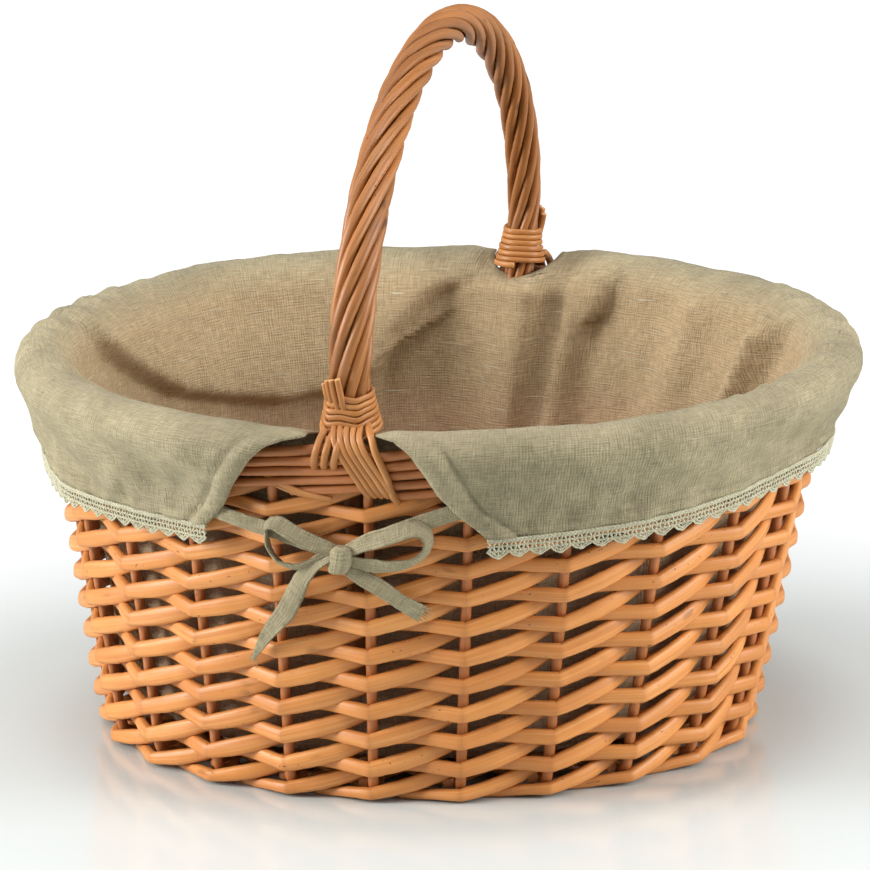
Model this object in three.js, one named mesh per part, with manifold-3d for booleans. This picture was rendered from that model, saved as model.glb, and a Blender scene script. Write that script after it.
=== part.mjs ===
// An oval willow basket with a roped bow handle and a linen liner tied round it.
// Millimetres, +Z up. The origin is on the floor under the middle of the rim, +X runs along the
// long way of the oval, and the handle stands across the short way. The whole basket leans a
// little towards +X, as it came out by hand, so its base stands nearer to -X than its rim.
import * as THREE from 'three';
import Module from 'manifold-3d';
import { mergeVertices } from 'three/addons/utils/BufferGeometryUtils.js';

const wasm = await Module();
wasm.setup();

// Driving dimensions of the oval wall.
const BASE_LENGTH = 364;
const BASE_WIDTH = 300;
const WALL_SPREAD = 2.1;
const WALL_SLOPE = 0.18;
const WALL_LEAN = 0.06;
const CORNER_HEIGHT = 24;
const CORNER_ROUND = 20;
const EVEN_SPACING_LEVEL = 112;

// Willow rods of the wall.
const STAKES = 22;
const STAKE_SHIFT = 13;
const STAKE_RADIUS = 3.1;
const FOOT_LENGTH = 12;
const FOOT_RISE = 0.8;
const FOOT_OUT = 1.8;
const FOOT_LEAN = 0.6;
const WEAVER_THICKNESS = 7.2;
const WEAVER_HEIGHT = 7;
const WEAVER_TIP = 0.78;
const ROW_GAP = 1;
const WEAVER_STEPS = 22;
const WEAVER_STUB = 0.13;
const CLEARANCE = 0.3;

// Border of turned-down stakes.
const BORDER_SPANS = 5;
const BORDER_SHORT = 0.25;
const BORDER_ROD_HEIGHT = 5.5;
const BORDER_ROD_WIDTH = 5.8;
const BORDER_TIP = 0.8;
const BORDER_GAP = 0.6;
const BEND_RADIUS = 7;

// Base: sticks of the slath and the two chased weavers.
const CROSS_STICKS = 7;
const CROSS_STICK_PITCH = 22;
const LONG_STICKS = 4;
const LONG_STICK_PITCH = 14;
const SLATH_MARGIN = 8;
const BASE_STICK_WIDTH = 6.8;
const BASE_STICK_HEIGHT = 5.6;
const LONG_STICK_HEIGHT = 4.4;
const BASE_ROD_WIDTH = 7.8;
const BASE_ROD_HEIGHT = 4;
const BASE_ROD_GAP = 0.7;
const BASE_TURNS = 3.5;
const BASE_EDGE = 13;
const BASE_SWING_EASE = 2.4;
const FLAT_CUT = 0.5;

// Bow handle.
const HANDLE_TOP = 409;
const HANDLE_FOOT_LEVEL = 259;
const HANDLE_SHAPE = 1.96;
const HANDLE_LEAN_X = -6;
const HANDLE_LEAN_Y = 5;
const FRONT_GIRTH = 1.12;
const BACK_GIRTH = 0.86;
const HANDLE_LEG_LEVELS = [70, 125, 180, 220, 249];
const ARCH_POINTS = 24;
const CORE_RADIUS = 4.6;
const CORE_TIP_RADIUS = 3.2;
const CORE_TIP_LENGTH = 100;
const CORE_RINGS = 30;
const STRAND_RODS = 4;
const STRAND_RADIUS = 3;
const STRAND_GAP = 0.55;
const STRAND_TURN = 187;
const STRAND_RINGS = 21;

// Lashing at each handle foot.
const LASHING_TURNS = 6;
const LASHING_RADIUS = 1.35;
const LASHING_STAND = 2;
const LASHING_GAP = 0.75;
const LASHING_FLARE = 4.2;
const LASHING_STEPS = 10;
const LASHING_DROPS = 5;
const LASHING_DROP_PITCH = 3.5;
const LASHING_DROP_SLANT = 20;
const LASHING_TUCK = 5;
const STUB_PLACES = [-2.4, -1.1, 0.2];
const STUB_LENGTH = 8;

// Shoulders of a lashing rod on the border: share of its slant, height over the border's top and
// distance inside its outermost line.
const DROP_SHOULDERS = [[0.2, 2.95, 4], [0.4, -5.75, 0]];

// Linen liner and its trim.
const CLOTH_THICKNESS = 1.6;
const CLOTH_COLUMNS = 28;
const CLOTH_EASE = 0.6;
const CLOTH_CORNER = 14;
const RIM_LIFT = 6.5;
const RIM_DEPTH = 16.5;
const RIM_OUT = 22;
const RIM_POINTS = 5;
const RIM_FOLD = 0.6;
const RIM_WAVE = 0.3;
const SKIRT_DROP = 56;
const SKIRT_ROWS = [0.4, 0.75, 1];
const SKIRT_WAVES = 10;
const SKIRT_WAVE_DEPTH = 1.6;
const HEM_RISE = 12;
const HEM_RISE_REACH = 0.085;
const LEG_BUMP = 10.5;
const LACE_DEPTH = 11;
const LACE_GAP = 0.8;
const LACE_THICKNESS = 1.2;
const LACE_RINGS = 13;
const SLIT_HALF_WIDTH = 20;
const SLIT_DEPTH = 16;
const FLAP_LEFT = 80;
const FLAP_RIGHT = 84;
const FLAP_CURVE = 1.5;
const FLAP_LEVELS = [-10, 0, 12, 26, 40];
const BLOCK_COLUMNS = 8;

// Inward folds of the bag: place as a share of the way round, depth and half width.
const BAG_FOLDS = [
  [0.16, 4, 0.03], [0.3, 7, 0.025], [0.4, 5, 0.02], [0.58, 4, 0.03], [0.7, 8, 0.03], [0.84, 5, 0.03],
];

// Rows of cloth round the bag's bottom corner: shares of the corner inwards and up, of the folds
// and of the push of the handle's legs.
const CORNER_ROWS = [[1, 0, 0, 0], [0.2, 0.35, 0.3, 0.3], [0, 1, 0.6, 0.8]];

// Tape bow under each handle foot, as points along the wall, up from the floor and out from the wall.
const TAPE_WIDTH = 8;
const TAPE_THICKNESS = 1.4;
const KNOT_LEVEL = 155;
const KNOT_HALF = [7, 4.4, 6];
const BOW_STAND = 15.5;
const LOOP_LEAN = 0.45 * Math.PI;
const TAIL_STAND = [2, 1, 1];
const LEFT_LOOP = [[-3, 156], [-22, 169], [-42, 179], [-52, 175], [-47, 163], [-25, 154], [-3, 154]];
const RIGHT_LOOP = [[3, 156], [18, 168], [36, 177], [50, 171], [44, 159], [20, 153], [3, 154]];
const LEFT_TAIL = [[-2, 153], [-20, 136], [-42, 116], [-59, 95]];
const RIGHT_TAIL = [[2, 153], [20, 138], [44, 122]];
const LEFT_TAPE = [[-1, 156], [-38, 169], [-77, 180]];
const RIGHT_TAPE = [[1, 156], [32, 173], [70, 188]];

// Values worked out from the dimensions above.
const HALF_LENGTH = BASE_LENGTH / 2;
const HALF_WIDTH = BASE_WIDTH / 2;
const CROSS_OFFSET = STAKE_RADIUS + WEAVER_THICKNESS / 2 + CLEARANCE;
const STEP_RISE = WEAVER_HEIGHT + ROW_GAP;
const BASE_SWING = (BASE_ROD_HEIGHT + BASE_STICK_HEIGHT) / 2 + BASE_SWING_EASE + CLEARANCE;
const BASE_LEVEL = BASE_SWING + BASE_ROD_HEIGHT / 2 - FLAT_CUT;
const BASE_TOP = BASE_LEVEL + BASE_SWING + BASE_ROD_HEIGHT / 2;
const BASE_PITCH = BASE_ROD_WIDTH + BASE_ROD_GAP;
const WEAVE_START = BASE_LEVEL + BASE_STICK_HEIGHT / 2 + WEAVER_HEIGHT / 2 + 2 * CLEARANCE;
const WEAVE_TOP = WEAVE_START + STEP_RISE * (WEAVER_STEPS - 1) + WEAVER_HEIGHT / 2;
const BORDER_DROP = BORDER_ROD_HEIGHT + BORDER_GAP;
const BORDER_OUT = STAKE_RADIUS + BORDER_ROD_WIDTH / 2 + CLEARANCE;
const BORDER_LEVEL = WEAVE_TOP + CLEARANCE + BORDER_ROD_HEIGHT / 2 + BORDER_DROP * BORDER_SPANS;
const BORDER_TOP = BORDER_LEVEL + BORDER_ROD_HEIGHT / 2;
const WALL_INSIDE = CROSS_OFFSET + WEAVER_THICKNESS / 2;
const HANDLE_INSET = WALL_INSIDE + CORE_RADIUS * FRONT_GIRTH + CLEARANCE;
const HANDLE_REACH_DOWN = HANDLE_LEG_LEVELS[0];
const STRANDS = 2 * STRAND_RODS;
const STRAND_RING = (2 * STRAND_RADIUS + STRAND_GAP) / (2 * Math.sin(Math.PI / STRANDS));
const HANDLE_RADIUS = STRAND_RING + STRAND_RADIUS;
const LASHING_LOW = BORDER_TOP + LASHING_RADIUS + LASHING_STAND;
const LASHING_PITCH = 2 * LASHING_RADIUS + LASHING_GAP;
const LASHING_HIGH = LASHING_LOW + LASHING_PITCH * LASHING_TURNS;
const CLOTH_FLOOR = BASE_TOP + CLEARANCE + CLOTH_THICKNESS / 2;
const CLOTH_INSIDE = WALL_INSIDE + CLOTH_EASE + CLOTH_THICKNESS / 2;
const HEM_LEVEL = BORDER_TOP - SKIRT_DROP;
const TAPE_OUT = WALL_INSIDE + CLEARANCE + TAPE_THICKNESS / 2;
const HEM_OUT = TAPE_OUT + TAPE_THICKNESS / 2 + CLEARANCE + CLOTH_THICKNESS / 2;

const FULL_TURN = 2 * Math.PI;
const UP = new THREE.Vector3(0, 0, 1);
const HEXAGON = [[1, 0], [0.5, 1], [-0.5, 1], [-1, 0], [-0.5, -1], [0.5, -1]];
const PENTAGON = [0, 1, 2, 3, 4].map((i) => [Math.cos(FULL_TURN * i / 5), Math.sin(FULL_TURN * i / 5)]);
const OBLONG = [[1, 1], [-1, 1], [-1, -1], [1, -1]];

const COLOURS = {
  weaver: 0xd8954f,
  stake: 0xb8733c,
  base: 0xc48a4c,
  handle: 0xb9773b,
  lashing: 0xc98a49,
  linen: 0xaaa587,
  lace: 0xc3c3a2,
};

// The lean of the whole basket, drawn from the level where its rim is widest.
const leanMatrix = new THREE.Matrix4().makeTranslation(-WALL_LEAN * (BORDER_TOP + RIM_LIFT - RIM_DEPTH), 0, 0);
leanMatrix.multiply(new THREE.Matrix4().makeShear(0, 0, 0, 0, WALL_LEAN, 0));

const basket = new THREE.Group();

function willow(color) {
  return new THREE.MeshStandardMaterial({ color, roughness: 0.5, metalness: 0 });
}

function fabric(color) {
  return new THREE.MeshStandardMaterial({ color, roughness: 0.95, metalness: 0, side: THREE.DoubleSide });
}

function addPart(name, geometry, material) {
  const mesh = new THREE.Mesh(geometry.applyMatrix4(leanMatrix), material);
  mesh.name = name;
  basket.add(mesh);
}

function numbered(stem, index) {
  return `${stem}_${String(index + 1).padStart(2, '0')}`;
}

// Outward offset of the wall's middle surface from the base oval at a height.
function wallOffset(z) {
  const below = Math.max(0, CORNER_HEIGHT - z);
  return WALL_SPREAD + WALL_SLOPE * z - below * below / (2 * CORNER_ROUND);
}

function ovalNormal(angle) {
  return new THREE.Vector3(HALF_WIDTH * Math.cos(angle), HALF_LENGTH * Math.sin(angle), 0).normalize();
}

function ovalPoint(angle, offset, z = 0) {
  const normal = ovalNormal(angle);
  const x = HALF_LENGTH * Math.cos(angle) + offset * normal.x;
  const y = HALF_WIDTH * Math.sin(angle) + offset * normal.y;
  return new THREE.Vector3(x, y, z);
}

// Table of arc length against angle, counter-clockwise from the front of the oval.
const ARC_SAMPLES = 1440;
const arcTable = [0];
for (let i = 1; i <= ARC_SAMPLES; i++) {
  const offset = wallOffset(EVEN_SPACING_LEVEL);
  const before = ovalPoint(FULL_TURN * (i - 1) / ARC_SAMPLES - Math.PI / 2, offset);
  const after = ovalPoint(FULL_TURN * i / ARC_SAMPLES - Math.PI / 2, offset);
  arcTable.push(arcTable[i - 1] + before.distanceTo(after));
}
const PERIMETER = arcTable[ARC_SAMPLES];
const SPACING = PERIMETER / STAKES;

function angleAt(arc) {
  const turns = Math.floor(arc / PERIMETER);
  const rest = arc - turns * PERIMETER;
  let low = 0;
  let high = ARC_SAMPLES;
  while (high - low > 1) {
    const middle = (low + high) >> 1;
    if (arcTable[middle] > rest) {
      high = middle;
    } else {
      low = middle;
    }
  }
  const share = (rest - arcTable[low]) / (arcTable[high] - arcTable[low]);
  return FULL_TURN * (turns + (low + share) / ARC_SAMPLES) - Math.PI / 2;
}

function stakeAngle(index) {
  return angleAt(STAKE_SHIFT + SPACING * index);
}

// A point given by its arc length along the wall, its height and its distance outside the wall's middle.
function onWall(arc, z, out) {
  return ovalPoint(angleAt(arc), wallOffset(z) + out, z);
}

// A ring of points round a centre, from a flat section and the two directions it is drawn along.
function ring(centre, section, first, second, halfFirst, halfSecond) {
  return section.map(([u, v]) => {
    const point = centre.clone().addScaledVector(first, u * halfFirst);
    return point.addScaledVector(second, v * halfSecond);
  });
}

// A closed body from rings of equal count, each joined to the next, with flat ends.
function loft(rings) {
  const sides = rings[0].length;
  const positions = [];
  for (const point of rings.flat()) {
    positions.push(point.x, point.y, point.z);
  }
  const faces = [];
  for (let i = 0; i + 1 < rings.length; i++) {
    for (let j = 0; j < sides; j++) {
      const next = (j + 1) % sides;
      const a = i * sides + j;
      const b = i * sides + next;
      faces.push(a, b, b + sides, a, b + sides, a + sides);
    }
  }
  const last = (rings.length - 1) * sides;
  for (let j = 1; j + 1 < sides; j++) {
    faces.push(0, j + 1, j, last, last + j, last + j + 1);
  }
  return closedGeometry(positions, faces);
}

// Geometry with its faces turned outwards, judged by the sign of its volume.
function closedGeometry(positions, faces) {
  const corner = (index) => new THREE.Vector3().fromArray(positions, 3 * index);
  let volume = 0;
  for (let i = 0; i < faces.length; i += 3) {
    volume += corner(faces[i]).dot(corner(faces[i + 1]).cross(corner(faces[i + 2])));
  }
  if (volume < 0) {
    for (let i = 0; i < faces.length; i += 3) {
      [faces[i + 1], faces[i + 2]] = [faces[i + 2], faces[i + 1]];
    }
  }
  const geometry = new THREE.BufferGeometry();
  geometry.setAttribute('position', new THREE.Float32BufferAttribute(positions, 3));
  geometry.setIndex(faces);
  return geometry;
}

function solid(geometry) {
  const bare = geometry.clone();
  bare.deleteAttribute('normal');
  bare.deleteAttribute('uv');
  const merged = mergeVertices(bare, 1e-4);
  return new wasm.Manifold(new wasm.Mesh({
    numProp: 3,
    vertProperties: Float32Array.from(merged.attributes.position.array),
    triVerts: Uint32Array.from(merged.index.array),
  }));
}

function geometryOf(body) {
  const mesh = body.getMesh();
  const geometry = new THREE.BufferGeometry();
  const positions = Float32Array.from(mesh.vertProperties);
  geometry.setAttribute('position', new THREE.Float32BufferAttribute(positions, 3));
  geometry.setIndex(Array.from(mesh.triVerts));
  return geometry;
}

function joined(geometries) {
  return geometries.map(solid).reduce((whole, next) => whole.add(next));
}

// The same piece at the back of the basket, turned half round the vertical axis.
function turnedToBack(geometry) {
  return geometry.clone().rotateZ(Math.PI);
}

function floorCutter() {
  const depth = 4 * FLAT_CUT;
  const box = new THREE.BoxGeometry(2 * BASE_LENGTH, 2 * BASE_WIDTH, depth);
  box.translate(0, 0, -depth / 2);
  return solid(box);
}

// French randing: a rod starts behind its own stake, then lies in front of one stake and behind the
// next, half a row higher at each, so the crossings in front line up in level rows.
function weaverGeometry(index) {
  const rings = [];
  for (let step = 0; step <= WEAVER_STEPS; step++) {
    const angle = stakeAngle(index + step);
    const z = WEAVE_START + STEP_RISE * step;
    const side = step % 2 === 1 ? 1 : -1;
    const taper = 1 - (1 - WEAVER_TIP) * Math.max(0, step - WEAVER_STEPS / 2) / (WEAVER_STEPS / 2);
    const thickness = WEAVER_THICKNESS / 2 * taper;
    const out = side * (CROSS_OFFSET - (WEAVER_THICKNESS / 2 - thickness));
    const section = (at, level) => {
      const centre = ovalPoint(at, wallOffset(level) + out, level);
      return ring(centre, PENTAGON, ovalNormal(at), UP, thickness, WEAVER_HEIGHT / 2 * taper);
    };
    if (step === 0) {
      rings.push(section(angleAt(STAKE_SHIFT + SPACING * (index - WEAVER_STUB)), z));
    }
    rings.push(section(angle, z));
    if (step === WEAVER_STEPS) {
      rings.push(section(angleAt(STAKE_SHIFT + SPACING * (index + step + WEAVER_STUB)), z));
    }
  }
  return loft(rings);
}

// A stake: pushed in beside its base stick, bent up into the wall, and at the top bent down along
// the rim, where it passes outside the next stake and lies on the tails of the stakes after it.
function stakeGeometry(index) {
  const arc = STAKE_SHIFT + SPACING * index;
  const angle = angleAt(arc);
  const normal = ovalNormal(angle);
  const tangent = new THREE.Vector3(-normal.y, normal.x, 0);
  const rings = [];
  const round = (centre, across) => ring(centre, PENTAGON, across, tangent, STAKE_RADIUS, STAKE_RADIUS);
  rings.push(round(ovalPoint(angle, -FOOT_LENGTH, BASE_LEVEL), UP.clone().negate()));
  const kneeAcross = normal.clone().multiplyScalar(FOOT_LEAN).sub(UP).normalize();
  rings.push(round(ovalPoint(angle, -FOOT_LENGTH / 3, BASE_LEVEL), kneeAcross));
  const elbowAcross = normal.clone().addScaledVector(UP, -FOOT_LEAN).normalize();
  rings.push(round(ovalPoint(angle, FOOT_OUT, BASE_LEVEL + FOOT_RISE), elbowAcross));
  for (const z of [CORNER_HEIGHT, BORDER_LEVEL - BEND_RADIUS]) {
    rings.push(round(ovalPoint(angle, wallOffset(z), z), normal));
  }
  for (const share of [0.5, 1]) {
    const lean = share * Math.PI / 2;
    const z = BORDER_LEVEL - BEND_RADIUS + BEND_RADIUS * Math.sin(lean);
    const centre = onWall(arc - BEND_RADIUS * (1 - Math.cos(lean)), z, 0);
    const across = tangent.clone().multiplyScalar(Math.cos(lean)).addScaledVector(UP, Math.sin(lean));
    rings.push(ring(centre, PENTAGON, normal, across, BORDER_ROD_WIDTH / 2, BORDER_ROD_HEIGHT / 2));
  }
  for (let span = 1; span <= BORDER_SPANS; span++) {
    const passed = span === BORDER_SPANS ? span - BORDER_SHORT : span;
    const level = BORDER_LEVEL - BORDER_DROP * passed;
    const half = 0.5 - 0.5 * (1 - BORDER_TIP) * span / BORDER_SPANS;
    const at = angleAt(arc - SPACING * passed);
    const centre = ovalPoint(at, wallOffset(level) + BORDER_OUT, level);
    rings.push(ring(centre, PENTAGON, ovalNormal(at), UP, BORDER_ROD_WIDTH * half, BORDER_ROD_HEIGHT * half));
  }
  return loft(rings);
}

// Where a base stick leaves the slath, and where it ends beside the foot of its stake.
function baseRay(index) {
  const count = ((index % STAKES) + STAKES) % STAKES;
  const crossReach = (CROSS_STICKS - 1) / 2;
  const slathWidth = LONG_STICK_PITCH * (LONG_STICKS - 1) / 2 + SLATH_MARGIN;
  const slathLength = CROSS_STICK_PITCH * crossReach + SLATH_MARGIN;
  const half = STAKES / 2;
  const flip = count > crossReach && count <= crossReach + half ? -1 : 1;
  const local = flip === 1 ? (count > crossReach ? count - STAKES : count) : count - half;
  let start;
  if (local >= -crossReach) {
    start = new THREE.Vector3(flip * CROSS_STICK_PITCH * local, -flip * slathWidth, BASE_LEVEL);
  } else {
    const place = local + half - crossReach - 1 - (LONG_STICKS - 1) / 2;
    start = new THREE.Vector3(-flip * slathLength, -flip * LONG_STICK_PITCH * place, BASE_LEVEL);
  }
  const angle = stakeAngle(count);
  const normal = ovalNormal(angle);
  const beside = BASE_STICK_WIDTH / 2 + STAKE_RADIUS + CLEARANCE;
  const aside = new THREE.Vector3(normal.y, -normal.x, 0).multiplyScalar(beside);
  const end = ovalPoint(angle, -1, BASE_LEVEL).add(aside);
  const knee = ovalPoint(angle, -BASE_EDGE, BASE_LEVEL).add(aside);
  return { start, knee, end };
}

function baseStickGeometry(first, second, height) {
  const near = baseRay(first);
  const far = baseRay(second);
  const route = [near.end, near.knee, near.start, far.start, far.knee, far.end];
  const rings = route.map((point, i) => {
    const before = route[Math.max(0, i - 1)];
    const after = route[Math.min(route.length - 1, i + 1)];
    const along = after.clone().sub(before).normalize();
    const across = new THREE.Vector3(-along.y, along.x, 0);
    return ring(point, OBLONG, across, UP, BASE_STICK_WIDTH / 2, height / 2);
  });
  return loft(rings);
}

// The pierced slath: the long sticks pass through the cross sticks, and all ends fan out to the rim.
function baseCrossSticks() {
  const sticks = [];
  const crossReach = (CROSS_STICKS - 1) / 2;
  for (let i = -crossReach; i <= crossReach; i++) {
    sticks.push(baseStickGeometry(i, STAKES / 2 - i, BASE_STICK_HEIGHT));
  }
  for (let i = 0; i < LONG_STICKS; i++) {
    sticks.push(baseStickGeometry(crossReach + 1 + i, -crossReach - 1 - i, LONG_STICK_HEIGHT));
  }
  return geometryOf(joined(sticks));
}

// One of the two base weavers: a flat spiral that goes over one stick and under the next.
function baseWeaverGeometry(start) {
  const steps = Math.round(BASE_TURNS * STAKES);
  const rings = [];
  for (let step = 0; step <= steps; step++) {
    const index = start + step;
    const ray = baseRay(index);
    const inward = ray.start.clone().sub(ray.knee).normalize();
    const rounds = 2 * (steps - step) / STAKES;
    const reach = BASE_ROD_WIDTH / 2 + BASE_PITCH * rounds;
    const centre = ray.knee.clone().addScaledVector(inward, reach);
    centre.z += step % 2 === 0 ? BASE_SWING : -BASE_SWING;
    rings.push(ring(centre, OBLONG, inward, UP, BASE_ROD_WIDTH / 2, BASE_ROD_HEIGHT / 2));
  }
  return geometryOf(solid(loft(rings)).subtract(floorCutter()));
}

// Height and place of the handle's middle line, front foot to back foot.
function handleLine() {
  const footY = HALF_WIDTH + wallOffset(HANDLE_FOOT_LEVEL) - HANDLE_INSET;
  const points = [];
  const leg = (side, z) => new THREE.Vector3(0, side * (HALF_WIDTH + wallOffset(z) - HANDLE_INSET), z);
  for (const z of HANDLE_LEG_LEVELS) {
    points.push(leg(-1, z));
  }
  for (let i = 0; i <= ARCH_POINTS; i++) {
    const t = Math.PI * i / ARCH_POINTS;
    const power = 2 / HANDLE_SHAPE;
    const bend = Math.sin(t) ** 2;
    const y = -footY * Math.sign(Math.cos(t)) * Math.abs(Math.cos(t)) ** power;
    const z = HANDLE_FOOT_LEVEL + (HANDLE_TOP - HANDLE_FOOT_LEVEL) * Math.sin(t) ** power;
    points.push(new THREE.Vector3(HANDLE_LEAN_X * bend, y + HANDLE_LEAN_Y * bend, z));
  }
  for (const z of HANDLE_LEG_LEVELS.toReversed()) {
    points.push(leg(1, z));
  }
  return new THREE.CatmullRomCurve3(points, false, 'centripetal');
}

const handleCurve = handleLine();
handleCurve.arcLengthDivisions = 600;
const HANDLE_LENGTH = handleCurve.getLength();

// Level to share of the handle's length, on the straight leg.
function legShare(z) {
  return (z - HANDLE_REACH_DOWN) * Math.hypot(1, WALL_SLOPE) / HANDLE_LENGTH;
}

// The strands start so low that their second ring of points lies in the lashing's first turn.
const STRAND_END = (legShare(LASHING_HIGH) - 1 / STRAND_RINGS) / (1 - 2 / STRAND_RINGS);

// Directions across the handle at a share of its length: one sideways, one away from the hand gap.
function handleFrame(share) {
  const along = handleCurve.getTangentAt(share);
  const outward = new THREE.Vector3(1, 0, 0).cross(along).normalize();
  const sideways = along.clone().cross(outward).normalize();
  return { centre: handleCurve.getPointAt(share), along, outward, sideways };
}

// The rods are thicker at the butt, so the handle is stouter at the front foot than at the back.
function girthAt(share) {
  const along = Math.min(1, Math.max(0, (share - STRAND_END) / (1 - 2 * STRAND_END)));
  return FRONT_GIRTH + (BACK_GIRTH - FRONT_GIRTH) * along;
}

function radialOf(frame, turn) {
  return frame.outward.clone().multiplyScalar(Math.cos(turn)).addScaledVector(frame.sideways, Math.sin(turn));
}

function handleCoreGeometry() {
  const rings = [];
  for (let i = 0; i <= CORE_RINGS; i++) {
    const share = i / CORE_RINGS;
    const frame = handleFrame(share);
    const full = Math.min(1, Math.min(share, 1 - share) * HANDLE_LENGTH / CORE_TIP_LENGTH);
    const radius = CORE_TIP_RADIUS + (CORE_RADIUS * girthAt(share) - CORE_TIP_RADIUS) * full;
    rings.push(ring(frame.centre, HEXAGON, frame.sideways, frame.outward, radius, radius * Math.sqrt(3) / 2));
  }
  return loft(rings);
}

// A rod roped round the core: it goes up and over to the back foot, turns there below the border
// and comes back beside itself, so four rods show as eight strands.
function handleStrandGeometry(index) {
  const rings = [];
  const place = (share, phase, past) => {
    const frame = handleFrame(share);
    const turn = FULL_TURN * (phase / STRANDS + (share - STRAND_END) * HANDLE_LENGTH / STRAND_TURN);
    const radial = radialOf(frame, turn);
    const round = frame.along.clone().cross(radial);
    const girth = girthAt(share);
    const centre = frame.centre.clone().addScaledVector(radial, STRAND_RING * girth);
    centre.addScaledVector(frame.along, past);
    return { radial, round, centre, along: frame.along, half: STRAND_RADIUS * girth };
  };
  for (let i = 0; i <= STRAND_RINGS; i++) {
    const at = place(STRAND_END + (1 - 2 * STRAND_END) * i / STRAND_RINGS, 2 * index, 0);
    rings.push(ring(at.centre, PENTAGON, at.radial, at.round, at.half, at.half));
  }
  const half = (STRAND_RADIUS + STRAND_GAP / 2) * BACK_GIRTH;
  const top = place(1 - STRAND_END, 2 * index + 0.5, 0);
  for (const share of [0.25, 0.5, 0.75]) {
    const lean = Math.PI * share;
    const centre = top.centre.clone().addScaledVector(top.round, -half * Math.cos(lean));
    centre.addScaledVector(top.along, half * Math.sin(lean));
    const across = top.round.clone().multiplyScalar(Math.cos(lean)).addScaledVector(top.along, -Math.sin(lean));
    rings.push(ring(centre, PENTAGON, top.radial, across, top.half, top.half));
  }
  for (let i = STRAND_RINGS; i >= 0; i--) {
    const at = place(STRAND_END + (1 - 2 * STRAND_END) * i / STRAND_RINGS, 2 * index + 1, 0);
    rings.push(ring(at.centre, PENTAGON, at.radial, at.round.negate(), at.half, at.half));
  }
  return loft(rings);
}

// Radius of a lashing's first turn round a handle foot of a girth.
function lashingRing(girth) {
  return HANDLE_RADIUS * girth + LASHING_RADIUS + CLEARANCE;
}

// The lashing: one thin rod wound down the handle foot in a cone, with the rods that it binds. They stick
// up over the windings, come out under them and lie slanting across the border.
function lashingGeometry(girth) {
  const centres = [];
  const rings = [];
  const steps = LASHING_TURNS * LASHING_STEPS;
  for (let i = 0; i <= steps; i++) {
    const share = i / steps;
    const frame = handleFrame(legShare(LASHING_HIGH - (LASHING_HIGH - LASHING_LOW) * share));
    const turn = FULL_TURN * i / LASHING_STEPS;
    const radial = radialOf(frame, turn);
    const radius = lashingRing(girth) / Math.cos(Math.PI / LASHING_STEPS) + LASHING_FLARE * share;
    const centre = frame.centre.clone().addScaledVector(radial, radius);
    centres.push(centre);
    rings.push(ring(centre, PENTAGON, radial, frame.along, LASHING_RADIUS, LASHING_RADIUS));
  }
  const pieces = [loft(rings)];
  for (let i = 0; i < LASHING_DROPS; i++) {
    pieces.push(lashingDropGeometry(girth, i - (LASHING_DROPS - 1) / 2));
  }
  for (const place of STUB_PLACES) {
    pieces.push(lashingStubGeometry(girth, place));
  }
  return { geometry: geometryOf(joined(pieces)), gap: leastGap(centres, LASHING_STEPS) - 2 * LASHING_RADIUS };
}

// The cut end of a bound rod, standing up out of the first turn.
function lashingStubGeometry(girth, place) {
  const turn = place * LASHING_DROP_PITCH / lashingRing(girth);
  const rings = [LASHING_HIGH - 1.5 * LASHING_PITCH, LASHING_HIGH + STUB_LENGTH].map((z) => {
    const frame = handleFrame(legShare(z));
    const radial = radialOf(frame, turn);
    const centre = frame.centre.clone().addScaledVector(radial, lashingRing(girth));
    return ring(centre, PENTAGON, radial, frame.along.clone().cross(radial), LASHING_RADIUS, LASHING_RADIUS);
  });
  return loft(rings);
}

function lashingDropGeometry(girth, place) {
  const side = place * LASHING_DROP_PITCH;
  const bow = Math.sqrt(lashingRing(girth) ** 2 - side * side) - HANDLE_INSET;
  const outside = BORDER_OUT + BORDER_ROD_WIDTH / 2 + LASHING_RADIUS + CLEARANCE;
  const lowest = BORDER_LEVEL - BORDER_DROP * (BORDER_SPANS - 1);
  const route = [onWall(side, LASHING_LOW + LASHING_TUCK, bow + LASHING_FLARE / 2)];
  for (const [share, rise, inside] of DROP_SHOULDERS) {
    route.push(onWall(side + LASHING_DROP_SLANT * share, BORDER_TOP + rise, outside - inside));
  }
  route.push(onWall(side + LASHING_DROP_SLANT, lowest, outside));
  const rings = route.map((point, i) => {
    const along = route[Math.min(i + 1, route.length - 1)].clone().sub(route[Math.max(i - 1, 0)]).normalize();
    const across = new THREE.Vector3(1, 0, 0).cross(along).normalize();
    return ring(point, PENTAGON, across, along.clone().cross(across), LASHING_RADIUS, LASHING_RADIUS);
  });
  return loft(rings);
}

// Least distance between points that lie a turn or more apart along a coil.
function leastGap(points, turn) {
  let least = Infinity;
  for (let i = 0; i < points.length; i++) {
    for (let j = i + turn - 2; j < points.length; j++) {
      least = Math.min(least, points[i].distanceTo(points[j]));
    }
  }
  return least;
}

function bump(x, centre, halfWidth) {
  const turns = x - centre - Math.round(x - centre);
  const near = Math.max(0, 1 - Math.abs(turns) / (2 * halfWidth));
  return near * near * (3 - 2 * near);
}

// How far the bag is drawn in by its folds at a share of the way round.
function bagFold(share) {
  const folds = BAG_FOLDS.map(([place, depth, width]) => depth * bump(share, place, width));
  return folds.reduce((sum, depth) => sum + depth, 0);
}

// How far the bag is pushed in by the handle's legs, at the front and the back.
function legBump(share) {
  return LEG_BUMP * (bump(share, 0, 0.6 / CLOTH_COLUMNS) + bump(share, 0.5, 0.6 / CLOTH_COLUMNS));
}

function skirtWave(share) {
  return SKIRT_WAVE_DEPTH * (1 - Math.cos(FULL_TURN * SKIRT_WAVES * share));
}

// How far the hem is drawn up towards the right end of the oval.
function hemRise(share) {
  return HEM_RISE * bump(share, 0.25, HEM_RISE_REACH);
}

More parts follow.
